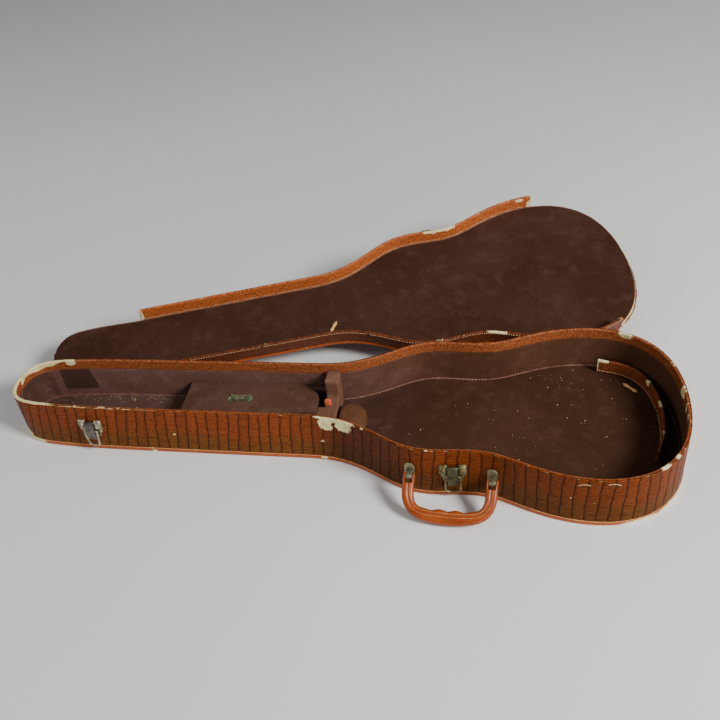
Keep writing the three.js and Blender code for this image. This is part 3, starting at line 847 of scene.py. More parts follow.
# A darker copy of the rim's grain for the broken rim lying at the tail: painted shade.
LOOSE_RIM_GRAIN_PAINTED_SHADE = grained_leatherette(
    "loose_rim_leatherette_painted_shade", (0.30, 0.075, 0.022), (0.20, 0.048, 0.015), (0.48, 0.18, 0.07))
RIM_GRAIN = grained_leatherette(
    "rim_leatherette", (0.66, 0.16, 0.036), (0.46, 0.105, 0.025), (0.85, 0.36, 0.13))
BINDING = binding_vinyl()
PLUSH_FLOOR = plush(
    "plush_floor", (0.075, 0.037, 0.027), (0.100, 0.053, 0.042), (0.155, 0.090, 0.080), 0.8,
    (0.67, 0.56, 0.40))
PLUSH_WALL = plush(
    "plush_wall", (0.128, 0.060, 0.045), (0.180, 0.090, 0.072), (0.26, 0.150, 0.130), 0.6, (0.60, 0.52, 0.37))
PLUSH_LID = plush("plush_lid", (0.047, 0.019, 0.011), (0.064, 0.028, 0.018), (0.10, 0.050, 0.037), 0.4)
PLUSH_REST = plush("plush_rest", (0.140, 0.062, 0.037), (0.200, 0.096, 0.060), (0.29, 0.155, 0.110), 0.4)
PLUSH_HEEL = plush("plush_heel", (0.100, 0.040, 0.019), (0.145, 0.062, 0.031), (0.23, 0.115, 0.065), 0.8)
PLUSH_BOX = plush("plush_box_lid", (0.088, 0.041, 0.026), (0.120, 0.059, 0.042), (0.19, 0.104, 0.078), 0.5)
WELT = plush("plush_welt", (0.13, 0.054, 0.035), (0.20, 0.093, 0.070), (0.32, 0.18, 0.14), 0.8)
BOARD = raw_board()
NICKEL = tarnished("tarnished_nickel", (0.62, 0.55, 0.39), (0.23, 0.20, 0.13), (0.13, 0.145, 0.075))
BRASS = tarnished("tarnished_brass", (0.34, 0.28, 0.12), (0.12, 0.105, 0.05), (0.055, 0.065, 0.03))
NICKEL_PALE = tarnished("tarnished_bracket", (0.42, 0.38, 0.24), (0.22, 0.19, 0.11), (0.10, 0.085, 0.045))
NICKEL_DARK = tarnished("tarnished_tongue", (0.20, 0.17, 0.14), (0.09, 0.08, 0.065), (0.06, 0.06, 0.04))
BRASS_DARK = tarnished(
    "tarnished_brass_tongue", (0.13, 0.115, 0.055), (0.055, 0.05, 0.028), (0.03, 0.04, 0.02))
# Near-black discs set in the eyelets where the holes would be: painted shade.
EYE_HOLE_SHADE = tarnished("eye_hole_painted_shade", (0.015, 0.013, 0.010), (0.010, 0.009, 0.007), (0.02, 0.018, 0.012), 0.2)
PULL_METAL = tarnished("tarnished_pull", (0.42, 0.42, 0.24), (0.12, 0.15, 0.07), (0.05, 0.09, 0.035), 0.7)
PLASTIC = handle_plastic()
TAB_CLOTH = plain_cloth("tab_cloth", (0.78, 0.10, 0.025), (0.92, 0.30, 0.14))
THREAD = plain_cloth("stitch_thread", (0.62, 0.36, 0.18), (0.85, 0.62, 0.38))
SPLINTER = wood_splinter()


# ---- tray ----
JOINT_SLANT = ((-540, -400, -200, 0, 200, 400, 540), (9.5, 9.0, 6.5, 4.5, 2.5, 1.0, 2.0))


def joint_shift(k, z, x):
    """How far joint k between two embossed cells wanders along the wall at height z, round about x."""
    height = (z - 45.0) / 45.0
    slant = np.interp(x, *JOINT_SLANT) + 1.5 * np.sin(0.55 * k + 0.9) + 0.9 * np.sin(1.27 * k + 2.0)
    bow = 1.3 * np.sin(0.47 * k + 0.4) * (height ** 2 - 0.4)
    waver = 0.55 * np.sin(z / 8.0 + 2.1 * k) + 0.3 * np.sin(z / 3.9 + 5.0 * k)
    return slant * height + bow + waver


CELL_FRACTIONS = np.array([0.0, 0.045, 0.12, 0.3, 0.5, 0.7, 0.88, 0.955])
CELL_RELIEF = np.array([-0.50, -0.22, 0.05, 0.16, 0.20, 0.16, 0.05, -0.22])

FRONT_TEARS = [
    (1, 79, 12, 13.5), (28, 81, 13, 11.5), (40, 90, 5, 3), (-11, 91, 5, 2), (19, 90, 27, 4),
    (-8, 41, 3.2, 2), (-251, 41, 3, 2.2), (360, 51, 1.9, 1.5), (394, 47, 1.9, 1.5), (60, 90.5, 2, 1.4),
    (158, 91, 1.6, 1.0), (-528, 12, 16, 7),
]
SCRATCHES = (
    ((369, 77.5), (372, 80.5), (378, 82.2), (385, 81.6)),
    ((408, 84.5), (413, 85.6), (419, 85.2), (425, 82.8)),
)
TAIL_TEARS = [(27, 80, 7, 13), (18, 84, 6, 7), (-9, 80, 4, 12), (-32, 86, 6, 5)]
INSIDE_TEARS = [(459, 90, 10, 7), (-463, 88, 9, 6), (344, 67, 2, 2)]
SLIT_X = 14.5


def crown_wear(arc, x, front, inner):
    """How worn the top edge is along the wall: bare at the head, a thin line or a few nicks elsewhere."""
    ragged = smooth_noise(arc / 9.0, seed=3) + 0.6 * smooth_noise(arc / 3.1, seed=4)
    sparse = smooth_noise(arc / 4.0, seed=6) * smooth_noise(arc / 47.0, seed=7)
    nicks = np.where(front, 0.05, 0.13) * smoothstep(sparse, 0.3, 0.6)
    level = 0.33 + 0.06 * ragged + nicks
    head = smoothstep(-x, 440, 500)
    level = level + 0.55 * head + np.where(front, 0.10 * smoothstep(-x, 250, 330), 0.0)
    bare_inside = (1.9 + 0.7 * smooth_noise(arc / 12.0, seed=8)) * smoothstep(-x, 478, 500) * ~front * inner
    tail = smoothstep(x, 440, 500)
    return level + bare_inside + tail * (0.03 + 0.15 * smooth_noise(arc / 6.0, seed=5))


def tray_wear_and_highlight(arc, z, inner):
    """Wear of the tray's covering: its top edge, with a thin pale line along its outer crest that is partly
    rubbed wear and partly painted highlight, and the places where it is torn.
    """
    x, y = OUTLINE.at(arc)
    front = y < 0
    edge = crown_wear(arc, x, front, inner) - (TRAY_TOP - z) * 0.25
    # The outer crest row is lifted to a thin pale line along the top edge: partly rubbed wear and partly
    # painted highlight.
    rub_and_highlight = 0.44 + 0.10 * smooth_noise(arc / 5.0, seed=9) + 0.12 * smoothstep(-x, 150, 400)
    rubbed_and_highlit = np.maximum(edge, np.where(front, rub_and_highlight, rub_and_highlight - 0.02))
    edge = np.where((np.abs(z - 91.0) < 0.05) & ~inner, rubbed_and_highlit, edge)
    torn = np.where(front & ~inner, ellipses(x, z, FRONT_TEARS), 0.0)
    slit = np.abs(x - SLIT_X + 0.2 * (z - 70)) < 1.3
    torn = np.where(slit & (z < 84) & front, 0.0, torn)
    corner = ellipses(arc, z, [(OUTLINE.front(486), 91, 8, 1.6), (OUTLINE.front(505), 91, 5, 1.3)])
    inside = np.where(inner & ~front, ellipses(x, z, INSIDE_TEARS), 0.0)
    middle = OUTLINE.length / 2
    hanging = [(middle + shift, *spot) for shift, *spot in TAIL_TEARS]
    tail_tear = np.where(inner, ellipses(arc, z, hanging), 0)
    return np.clip(np.maximum.reduce([edge, torn, corner, inside, tail_tear]), 0, 1)


def around(stations):
    """Arc lengths of a closed strip's stations, with its end as well."""
    return np.append(stations, OUTLINE.length)


COVER_OUTSIDE = np.concatenate([np.linspace(7.8, 84, 27), [86, 88, 89.4, 90.3]])
COVER_CREST = [(-0.35, 91.0), (-1.2, 91.4), (-2.7, 91.5), (-4.2, 91.4), (-5.05, 91.0)]
COVER_INSIDE = [90.3, 89.0, 87.0, 84.5, 82.0, 79.5, 77.0, 75.0, 73.8]
COVER_HEM = [(-5.15, 73.35), (-4.75, 73.6)]
COVER_HIDDEN = [(-4.6, 89.6), (COVER_BACK, 89.6), (COVER_BACK, 8.2)]
FIRST_INNER_ROW = len(COVER_OUTSIDE) + 2


def covering_arcs(k, fraction, cells, z):
    """Arc length of every point of the covering, which lies between the two wavy joints of its cell."""
    pitch = OUTLINE.length / cells
    k, fraction, z = k[:, None], fraction[:, None], np.minimum(z, 90)
    before = joint_shift(k, z, OUTLINE.at(k * pitch)[0])
    after = joint_shift((k + 1) % cells, z, OUTLINE.at((k + 1) * pitch)[0])
    return pitch * (k + fraction) + (1 - fraction) * before + fraction * after


def covering_offsets(profile, arc, z, relief, wear_and_painted_light):
    """How far out every point stands: embossed and slightly uneven outside, sunk where it is torn."""
    outer = np.arange(len(profile)) < len(COVER_OUTSIDE)
    fade = np.where(outer, smoothstep(91.0 - profile[:, 1], 0, 4), 0.0)
    sunk = smoothstep(wear_and_painted_light, 0.5, 0.62)
    swell = 0.18 * smooth_noise(arc / 11.0, z / 9.0, seed=12)
    embossed = relief[:, None] * fade * (1 - sunk) + swell * fade
    return profile[:, 0] + embossed - np.where(outer, 0.45, 0.0) * sunk


def chewed_crest(arc):
    """How far the rows of the top edge are lifted or chewed down, more so at the head."""
    from_tail = np.abs(arc % OUTLINE.length / OUTLINE.length - 0.5)
    chewed = smooth_noise(arc / 2.6, seed=21) * (0.18 + 0.25 * smoothstep(from_tail, 0.42, 0.5))
    row = np.arange(arc.shape[1]) - len(COVER_OUTSIDE)
    return np.where((row >= -2) & (row <= len(COVER_CREST)), chewed, 0.0)


def add_tray_covering():
    """The covering as cells between wavy joints, up the outside, over the edge and down to its hem inside."""
    cells = round(OUTLINE.length / CELL_PITCH)
    k, part = np.divmod(np.arange(cells * len(CELL_FRACTIONS)), len(CELL_FRACTIONS))
    fraction, relief = CELL_FRACTIONS[part], CELL_RELIEF[part]
    outside = [(0.0, z) for z in COVER_OUTSIDE]
    inside = [(LINING_FACE, z) for z in COVER_INSIDE]
    profile = np.array(outside + COVER_CREST + inside + COVER_HEM + COVER_HIDDEN)
    z = np.broadcast_to(profile[:, 1], (len(k), len(profile)))
    arc = covering_arcs(k, fraction, cells, z)
    inner = np.broadcast_to(np.arange(len(profile)) >= FIRST_INNER_ROW, z.shape)
    wear_and_painted_light = tray_wear_and_highlight(arc, z, inner)
    x, y = OUTLINE.at(arc, covering_offsets(profile, arc, z, relief, wear_and_painted_light))
    u = np.append(k + fraction, cells) * CELL_PITCH
    shell = grid("tray_covering", np.stack([x, y, z + chewed_crest(arc)], axis=-1), CROC, "case_body",
                 ("covering_front", "covering_back"), close_u=True, close_v=True, wear_and_painted_light=wear_and_painted_light,
                 u=u, v=profile[:, 1], sharp=60)
    paint_rows(shell, GRAIN, len(profile), FIRST_INNER_ROW, len(profile))


def add_tray_binding():
    """The strip round the foot of the tray, with a bead along its upper edge."""
    stations = OUTLINE.stations(700)
    profile = [
        (-0.7, 1.1), (0.35, 1.1), (0.72, 1.5), (0.80, 2.6), (0.78, 5.2), (0.62, 6.2), (0.35, 6.5),
        (0.55, 6.8), (0.70, 7.3), (0.45, 7.8), (0.0, 7.9), (-0.7, 7.7),
    ]
    points = swept(stations, profile)
    x, y = points[..., 0], points[..., 1]
    arc = widened(stations, len(profile))
    ragged = smooth_noise(arc / 7.0, seed=31)
    bead = np.where(points[..., 2] > 6.4, 0.40 + 0.09 * ragged, 0.0)
    spots = [(-512, 3, 22, 9), (-9, 5, 6, 2.5), (-293, 2.5, 5, 2), (459, 3, 26, 2.6), (505, 3, 20, 2.4)]
    torn = np.where(y < 0, ellipses(x, points[..., 2], spots), 0)
    tail = np.where((x > 420) & (y < 0), 0.36 + 0.1 * ragged, 0)
    wear_and_painted_light = np.maximum.reduce([bead, torn, tail])
    grid("tray_binding", points, BINDING, "case_body", ("binding_front", "binding_back"),
         close_u=True, close_v=True, wear_and_painted_light=wear_and_painted_light, u=around(stations), v=[z for _, z in profile])


def add_tray_lining():
    """The cloth on the inside of the wall, slightly uneven, with a dark patch on the back wall near the head
    and painted shade darkening the head end.
    """
    stations = OUTLINE.stations(520)
    heights = np.concatenate([[5.6, 12], np.linspace(17, 72.6, 16)])
    face = [(LINING_FACE, z) for z in heights] + [(-5.0, 73.1), (-4.7, 72.6), (-4.7, 5.6)]
    points = swept(stations, face)
    arc = widened(stations, len(face))
    z = points[..., 2]
    ripple = 0.22 * smooth_noise(arc / 24.0, z / 16.0, seed=41) - 0.18
    ripple[:, len(heights):] = 0
    points[..., :2] -= ripple[..., None] * OUTLINE.normals(stations)[:, None]
    x, y = points[..., 0], points[..., 1]
    right = -428 - 0.12 * (z - 30)
    patch = smoothstep(x, -492, -482) * smoothstep(right - x, -2, 2) * smoothstep(z, 26, 32)
    # Painted shade: the inner wall at the head end is darkened through the same mark as the patch.
    end = 0.55 * smoothstep(-x, 478, 505)
    wear_and_painted_light = np.maximum(np.where(y > 0, patch, 0), end)
    grid("tray_lining", points, PLUSH_WALL, "case_body", ("lining_front", "lining_back"),
         close_u=True, close_v=True, wear_and_painted_light=wear_and_painted_light, u=around(stations), v=[z for _, z in face])


def add_scratches():
    """Two curved scratches on the front of the lower bout, as thin raised curls of the bared board."""
    for i, curve in enumerate(SCRATCHES):
        path = catmull_rom(curve, 20)
        x, y = OUTLINE.at(OUTLINE.front(path[:, 0]), 0.25)
        wire(f"scratch_{i}", np.column_stack([x, y, path[:, 1]]), 0.32, BOARD, "case_body", sides=6)


def add_wall_board():
    """The fibre board of the wall, hidden but for where the cloth is gone."""
    stations = OUTLINE.stations(420)
    outer, inner = BOARD_FACES
    profile = [(outer, z) for z in (5.6, 48, 90.4)] + [(inner, z) for z in (90.4, 48, 5.6)]
    grid("wall_board", swept(stations, profile), BOARD, "case_body", ("wall_front", "wall_back"),
         close_u=True, close_v=True, u=around(stations))


def add_bottom():
    """The covering under the tray."""
    plate("bottom_cloth", COVER_BACK, 1.1, 0.1, CROC_FLAT, "case_body", ("bottom_covering",),
          columns=200, rows=60, crown=0.5, flip=True)


def plate_grid(offset, columns, rows, x_low=None):
    """x, y and edge distance over a plate with the outline's shape, columns along X and rows across."""
    t = (1 - np.cos(np.linspace(0, math.pi, columns))) / 2
    low = (-LENGTH / 2 - offset if x_low is None else x_low) + 0.02
    high = LENGTH / 2 + offset - 0.02
    blend = 0.5 * t + 0.5 * np.linspace(0, 1, columns)
    x = low + (high - low) * blend
    half = np.maximum(OUTLINE.half_width(x, offset), 0.05)
    across = np.sin(np.linspace(-1, 1, rows) * math.pi / 2) * 0.35 + np.linspace(-1, 1, rows) * 0.65
    gx = np.repeat(x[:, None], rows, axis=1)
    gy = half[:, None] * across[None, :]
    edge = np.minimum(half[:, None] - np.abs(gy), np.minimum(gx - low, high - gx))
    return gx, gy, edge


def plate(name, offset, z_top, z_low, material, body, replaces, columns=260, rows=90, relief=None,
          crown=0.0, crown_reach=4.0, flip=False):
    """A closed plate with the outline's shape; its upper face carries the relief."""
    gx, gy, edge = plate_grid(offset, columns, rows)
    bump = np.zeros_like(gx) if relief is None else relief(gx, gy)
    rounded = crown * (1 - np.sqrt(np.clip(1 - (1 - np.clip(edge / crown_reach, 0, 1)) ** 2, 0, 1)))
    sign = -1 if flip else 1
    top = np.stack([gx, gy, z_top + sign * (bump * smoothstep(edge, 0, 12) - rounded)], axis=-1)
    bottom = np.stack([gx, gy, np.full_like(gx, z_low)], axis=-1)
    points = np.concatenate([top, bottom[:, ::-1]], axis=1)
    return grid(name, points, material, body, replaces, close_v=True, caps=True,
                wear_and_painted_light=np.zeros(points.shape[:2]), u=gx[:, 0], sharp=50)


def floor_relief(x, y):
    """How far the floor stands above or below its level, in broad waves and small lumps."""
    broad = 0.7 * smooth_noise(x / 55.0, y / 45.0, seed=51)
    lumps = 0.35 * smooth_noise(x / 16.0, y / 14.0, seed=52)
    return broad + lumps - 0.6


def add_floor():
    """The padded floor, with a rolled welt round it and a row of stitches at the back."""
    pad = plate("floor_cushion", -5.75, FLOOR_TOP, 5.6, PLUSH_FLOOR, "case_body", ("floor_pad",),
                relief=floor_relief, crown=2.2, crown_reach=5.0)
    stations = OUTLINE.stations(620)
    arc = widened(stations, 6)
    size = 1.45 + 0.45 * smooth_noise(arc / 3.0, seed=61)
    points = roll(arc, size, FLOOR_EDGE, FLOOR_TOP - 0.4, 0.9)
    grid("floor_welt", points, WELT, "case_body", close_u=True, close_v=True, u=around(stations))
    seam = np.linspace(OUTLINE.back(300), OUTLINE.back(0), 200)
    path = np.column_stack(OUTLINE.at(seam, FLOOR_EDGE))
    stitch_line("floor_welt_stitches", path, OUTLINE.normals(seam), -0.8, FLOOR_TOP + 0.7, "case_body",
                pitch=5.6, length=1.5, radius=0.45)


def roll(arc, size, offset, height, flatness):
    """Points of a rolled edge along the outline: a round section of the given size at every arc length."""
    angle = turns(arc.shape[1])
    x, y = OUTLINE.at(arc, offset + size * np.cos(angle))
    return np.stack([x, y, height + size * flatness * np.sin(angle)], axis=-1)


# ---- inside the tray ----
def upholster(obj, voxel, puff, seed, low, high):
    """Give a block an even mesh, let it swell a little between its edges, and keep it in its box."""
    mesh = remesh(obj, obj.data.materials[0], voxel)
    co, normal = read_vertices(mesh), read_vertices(mesh, "normal")
    waves = smooth_noise(*(co.T / MM / 14), seed=seed)
    co += normal * ((waves * 0.35 - 0.35) * puff * MM)[:, None]
    write_vertices(mesh, np.clip(co, low, high))


def add_neck_rest():
    """The padded block with a rounded notch, on which a neck lies."""
    low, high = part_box("neck_rest")
    y0, y1 = low.y / MM, high.y / MM
    half, notch, top = REST["notch_half"], REST["notch_z"], REST["top"]
    base = low.z / MM
    corner = 9
    curve = [(half - corner + corner * math.sin(a), notch + corner - corner * math.cos(a))
             for a in np.linspace(0, math.pi / 2, 6)]
    right = [(half, top - 4), (half + 1.2, top - 1.2), (half + 4, top)]
    shape = [(y0, base), (y1, base), (y1, top)] + right[::-1] + curve[::-1]
    shape += [(-y, z) for y, z in curve] + [(-y, z) for y, z in right] + [(y0, top)]
    block = extruded("neck_rest_pad", shape, REST["x0"], REST["x1"], PLUSH_REST, "case_body",
                     ("neck_rest",), width=1.6, segments=3, axis="x")
    upholster(block, 1.8, 0.7, 71, low, high)


def add_heel_pad():
    """The firm cushion behind the neck rest: flat in front, rounded behind and on top."""
    low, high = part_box("heel_pad")
    x0, base, top = low.x / MM, low.z / MM, high.z / MM
    half, reach = high.y / MM, high.x / MM - low.x / MM
    back_part = 0.30
    stretch = reach / (reach - half + half * back_part)
    power = 2.6
    steps = [(0.0, 0.985), (0.12, 1.0), (0.40, 1.0), (0.60, 0.975), (0.74, 0.925), (0.85, 0.84), (0.93, 0.72),
             (0.975, 0.56), (0.995, 0.38), (1.0, 0.20), (1.0, 0.02)]
    rings = []
    for level, size in steps:
        ring = []
        for a in turns(72):
            c, s = math.cos(a), math.sin(a)
            r = (abs(c) ** power + abs(s) ** power) ** (-1 / power)
            cx, cy = c * r, s * r
            px = cx * (reach - half) if cx > 0 else cx * half * back_part
            px = px * size + half * back_part
            py = cy * half * size
            ring.append((x0 + px * stretch, py, base + (top - base) * level))
        rings.append(ring)
    points = np.array(rings).transpose(1, 0, 2)
    swell = smooth_noise(points[..., 0] / 11, points[..., 1] / 11, points[..., 2] / 11, seed=81)
    points[..., 2] -= 0.5 * (swell + 1) * smoothstep(points[..., 2], base + 3, top)
    pad = grid("heel_cushion", points, PLUSH_HEEL, "case_body", ("heel_pad",), close_u=True,
               sharp=70)

    def keep_in_box(bm):
        for v in bm.verts:
            v.co.x = min(max(v.co.x, low.x), high.x)
            v.co.z = min(v.co.z, high.z)

    edit(pad.data, fill_holes, keep_in_box)


def add_notch_tab():
    """The small ribbon tab in the notch, with a round top."""
    low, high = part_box("notch_tab")
    x0, x1 = low.x / MM, high.x / MM
    z0, z1 = low.z / MM, high.z / MM
    round_top = 4.5
    shape = [(x1, z0), (x0, z0)]
    for a in np.linspace(0, math.pi, 9):
        shape.append((x0 + (x1 - x0) * (0.5 - 0.5 * math.cos(a)), z1 - round_top + round_top * math.sin(a)))
    extruded("notch_tab_ribbon", shape, low.y / MM, high.y / MM, TAB_CLOTH, "case_body",
             ("notch_tab",), width=0.5, segments=2, axis="y")


def add_compartment():
    """The cloth-covered end wall, cleats and lid of the accessory compartment."""
    rounded_copy("compartment_end", "compartment_end_cloth", PLUSH_WALL, "case_body", 0.8, 3)
    for side in ("front", "back"):
        recolor(f"compartment_cleat_{side}", PLUSH_WALL)
    rounded_copy("compartment_lid", "compartment_lid_cloth", PLUSH_BOX, "compartment_lid", 0.9, 3)


def add_pull():
    """The plate on the compartment lid with its two screws, and the bail to lift it by."""
    plate_low, plate_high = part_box("pull_plate")
    rounded_copy("pull_plate", "pull_plate_metal", PULL_METAL, "compartment_lid", 0.35, 2)
    rounded_copy("pull_bail", "pull_bail_wire", PULL_METAL, "pull_bail", 0.4, 2)
    z = plate_low.z / MM + 1.0
    y = (plate_low.y + plate_high.y) / 2 / MM - 1.5
    for name, x in (("head", plate_low.x / MM + 3.4), ("tail", plate_high.x / MM - 3.4)):
        dome(f"pull_screw_{name}", (x, y, z), (0, 0, 1), 1.9, 1.0, PULL_METAL, "compartment_lid",
             cut=0.45)


def add_loose_rim():
    """A stretch of the lid's broken rim, standing on the floor along the tail."""
    path = catmull_rom([(418, 147), (462, 133), (490, 102), (504, 48), (503, -12), (490, -60)], 90)
    tangent = unit_tangents(path)
    normal = np.column_stack([-tangent[:, 1], tangent[:, 0]])
    z0, z1 = FLOOR_TOP + 0.3, FLOOR_TOP + 25.3
    half = 2.1
    section = [(-half, z0 + 1), (-half + 0.5, z0), (half - 0.5, z0), (half, z0 + 1)]
    section += [(half, z) for z in np.linspace(z0 + 4, z1 - 3, 7)]
    section += [(half, z1 - 0.8), (half - 0.6, z1), (-half + 0.6, z1), (-half, z1 - 0.8)]
    section += [(-half, z) for z in np.linspace(z1 - 3, z0 + 4, 7)]
    section = np.array(section)
    n, m = len(path), len(section)
    arc = arc_length(path)
    off = np.broadcast_to(section[:, 0], (n, m)).copy()
    z = np.broadcast_to(section[:, 1], (n, m)).copy()
    along = widened(arc, m)
    off += 0.25 * smooth_noise(along / 12, z / 7, seed=91) * np.sign(off)
    z = np.where(z > z1 - 1.5, z - 0.6 * (1 + smooth_noise(along / 5, seed=92)), z)
    x, y = (path[:, i:i + 1] + normal[:, i:i + 1] * off for i in (0, 1))
    points = np.stack([x, y, z], axis=-1)
    ends = smoothstep(-along, -3.5, 0) + 0.3 * smoothstep(along, arc[-1] - 3, arc[-1])
    edge = 0.40 * smoothstep(z, z1 - 2.5, z1) + 0.10 * smooth_noise(along / 8, seed=93)
    spots = ellipses(along, z, [(9, z1 - 2, 9, 2.5), (96, z1 - 4, 5, 5), (150, z1 - 1, 8, 1.6)])
    wear_and_painted_light = np.clip(np.maximum.reduce([ends, edge, spots]), 0, 1)
    # Covered with the darker copy of the rim's grain: painted shade.
    grid("loose_rim", points, LOOSE_RIM_GRAIN_PAINTED_SHADE, "case_body", ("loose_rim_piece",), close_v=True,
         caps=True, wear_and_painted_light=wear_and_painted_light, u=arc, v=section[:, 1], sharp=50)
    stitch_line("loose_rim_stitches", path, normal, -half - 0.12, z0 + 3.2, "case_body")


# ---- lid ----
def lid_edge_trim(x, y):
    """y at the lid's short head end: rounded, cut off at the hinge line behind and spread in front."""
    reach, radius = LID_HEAD["x"] + LID_HEAD["radius"], LID_HEAD["radius"]
    half = OUTLINE.half_width(reach, 5.5)
    round_off = half - radius + np.sqrt(np.clip(radius ** 2 - np.clip(reach - x, 0, radius) ** 2, 0.01, None))
    y = np.where(x < reach, y * np.minimum(1, round_off / half), y)
    slope = HINGE["axis"][1] / HINGE["axis"][0]
    line = HINGE["pos_m"][1] / MM + slope * x - 3.0
    y = np.where(x < RIM_BACK[0] - 10, np.minimum(y, line), y)
    spread = LID_HEAD["spread"] * smoothstep(-x, -RIM_FRONT[0], 460)
    return y * np.where(y < 0, 1 + spread / 66, 1)


def lining_relief(x, y):
    """How uneven the lining of the lid is."""
    broad = 0.35 * smooth_noise(x / 60.0, y / 50.0, seed=101)
    return broad + 0.15 * smooth_noise(x / 15.0, y / 13.0, seed=102) - 0.2


def skin_relief(x, y):
    """How uneven the outside of the lid is."""
    return 0.12 * smooth_noise(x / 14, y / 12, seed=123) - 0.1


def skin_wear(x, y, edge):
    """Wear of the lid's outside: scuffed all over, and bare along the edges whose rim is broken off."""
    scuffed = 0.25 * smooth_noise(x / 30, y / 30, seed=121) + 0.15
    bare = smoothstep(-edge, -6, 0) * (smoothstep(x, 400, 440) + smoothstep(-x, 340, 360)) * 0.55
    return np.clip(np.maximum(scuffed * 0.5, bare + 0.2 * smooth_noise(x / 9, y / 9, seed=122)), 0, 1)


def lid_plate(name, offset, z_face, z_other, material, slot, node, relief=None, wear_and_painted_light=None, jagged=0.0,
              crown=0.0):
    """A plate of the lid, with the relief on its side at z_face."""
    gx, gy, edge = plate_grid(offset, 280, 90, x_low=LID_HEAD["x"] - 5.5 + offset)
    if jagged:
        ring = np.arctan2(gy, gx - 250) * 60
        free = smoothstep(gx, 380, 420) + smoothstep(-gx, 345, 370)
        rough = jagged * free * (smooth_noise(ring / 5.0, gx / 23.0, seed=111) - 0.2) * (edge < 0.05)
        gx = gx + rough * np.sign(gx)
        gy = gy + rough * np.sign(gy) * 0.6
    gy = lid_edge_trim(gx, gy)
    direction = 1 if z_other > z_face else -1
    rounded = crown * (1 - np.clip(edge / 3.0, 0, 1)) ** 2
    bump = np.zeros_like(gx) if relief is None else relief(gx, gy)
    height = z_face + direction * (rounded - bump * smoothstep(edge, 0, 10))
    face = np.stack([gx, gy, height], axis=-1)
    other = np.stack([gx, gy, np.full_like(gx, z_other)], axis=-1)
    points = np.concatenate([face, other[:, ::-1]], axis=1)
    field = np.zeros_like(gx) if wear_and_painted_light is None else wear_and_painted_light(gx, gy, edge)
    fields = np.concatenate([field, field[:, ::-1]], axis=1)
    grid(name, points, material, "lid", (node,), close_v=True, caps=True, wear_and_painted_light=fields, u=gx[:, 0],
         matrix=LID_OPEN, sharp=50)


def add_lid_panels():
    """The lid's lining, board and covering, one on another."""
    lid_plate("lid_lining_cloth", 2.9, *LID_LINING, PLUSH_LID, "plush", "lid_lining", lining_relief,
              crown=0.6)
    lid_plate("lid_board", 4.1, *LID_PANEL, BOARD, "board", "lid_panel", jagged=1.6)
    lid_plate("lid_skin", 6.9, LID_TOP, LID_PANEL[1] + 0.3, CROC_FLAT, "leatherette", "lid_covering",
              skin_relief, skin_wear, crown=0.5)


OUTSIDE_ROWS = 9


def rim_profile():
    """Section of the rim's covering: down the outside, under the edge, up the inside and back within it."""
    outside = [(RIM_OUTSIDE, z) for z in np.linspace(93.4, 69.0, OUTSIDE_ROWS)]
    bottom = [(RIM_OUTSIDE - 0.35, 67.9), (RIM_OUTSIDE - 1.2, RIM_BOTTOM), (RIM_INSIDE + 1.2, RIM_BOTTOM),
              (RIM_INSIDE + 0.35, 67.9)]
    inside = [(RIM_INSIDE, z) for z in np.linspace(69.0, 92.0, 9)]
    inner, outer = RIM_INSIDE + 0.75, RIM_OUTSIDE - 0.75
    back = [(inner, 92.0), (inner, 68.8), (outer, 68.8), (outer, 93.4)]
    return np.array(outside + bottom + inside + back)


RIM_TEARS = {
    "front": [(197, 68, 7, 3.5), (209, 68.5, 7, 5.5), (222, 67.5, 8, 4), (236, 68.5, 8, 5), (247, 67.5, 5, 3),
              (388, 72, 9, 3.5), (407, 86, 4, 9), (-350, 80, 3, 14)],
    "back": [(266, 69, 10, 4), (252, 67.5, 8, 2), (-328, 80, 3, 14)],
}
RIM_END_WEAR = {"front": (0.7, 0.7), "back": (0.0, 0.7)}


RIM_TRIM = [
    (6.9, 94.2), (8.5, 94.2), (8.95, 94.7), (9.0, 96.0), (8.95, 98.2), (8.5, 99.3), (7.6, 99.7), (6.9, 99.6),
]


def add_rim_cloth(side, stations, first, last):
    """The covering of the rim, torn along its edge and worn at its first and last ends."""
    s0, s1 = stations[0], stations[-1]
    profile = rim_profile()
    arc = widened(stations, len(profile))
    ragged = 1.6 * smooth_noise(np.arange(len(profile)) * 1.1, seed=131 + len(side))
    arc[0] += 1.2 + ragged
    arc[-1] -= 1.2 + ragged[::-1]
    points = swept(arc, profile)
    z = points[..., 2]
    spots = ellipses(points[..., 0], z, RIM_TEARS[side])
    edge = 0.30 * smoothstep(-z, -70, -67.6) + 0.16 * smooth_noise(arc / 8, seed=133)
    ends = smoothstep(-(arc - s0), -3, 0.5) * first + smoothstep(arc, s1 - 3, s1 + 0.5) * last
    wear_and_painted_light = np.clip(np.maximum.reduce([spots, edge, ends]), 0, 1)
    chew = smoothstep(spots, 0.5, 0.7) * (1.0 + 1.2 * smooth_noise(arc / 4, seed=135))
    frayed = np.clip(chew, 0, 2.2) + 0.25 * (1 + smooth_noise(arc / 4, seed=136))
    points[..., 2] += np.where(z < 69.5, frayed, 0)
    # The back rim takes the darker copy of the grain: painted shade.
    face = RIM_GRAIN if side == "front" else RIM_GRAIN_PAINTED_SHADE
    cloth = grid(f"rim_cloth_{side}", points, face, "lid", (f"rim_covering_{side}",),
                 close_v=True, caps=True, wear_and_painted_light=wear_and_painted_light, u=stations, v=profile[:, 1], matrix=LID_OPEN, sharp=50)
    if side == "front":
        paint_rows(cloth, CROC, len(profile), 0, OUTSIDE_ROWS - 1)


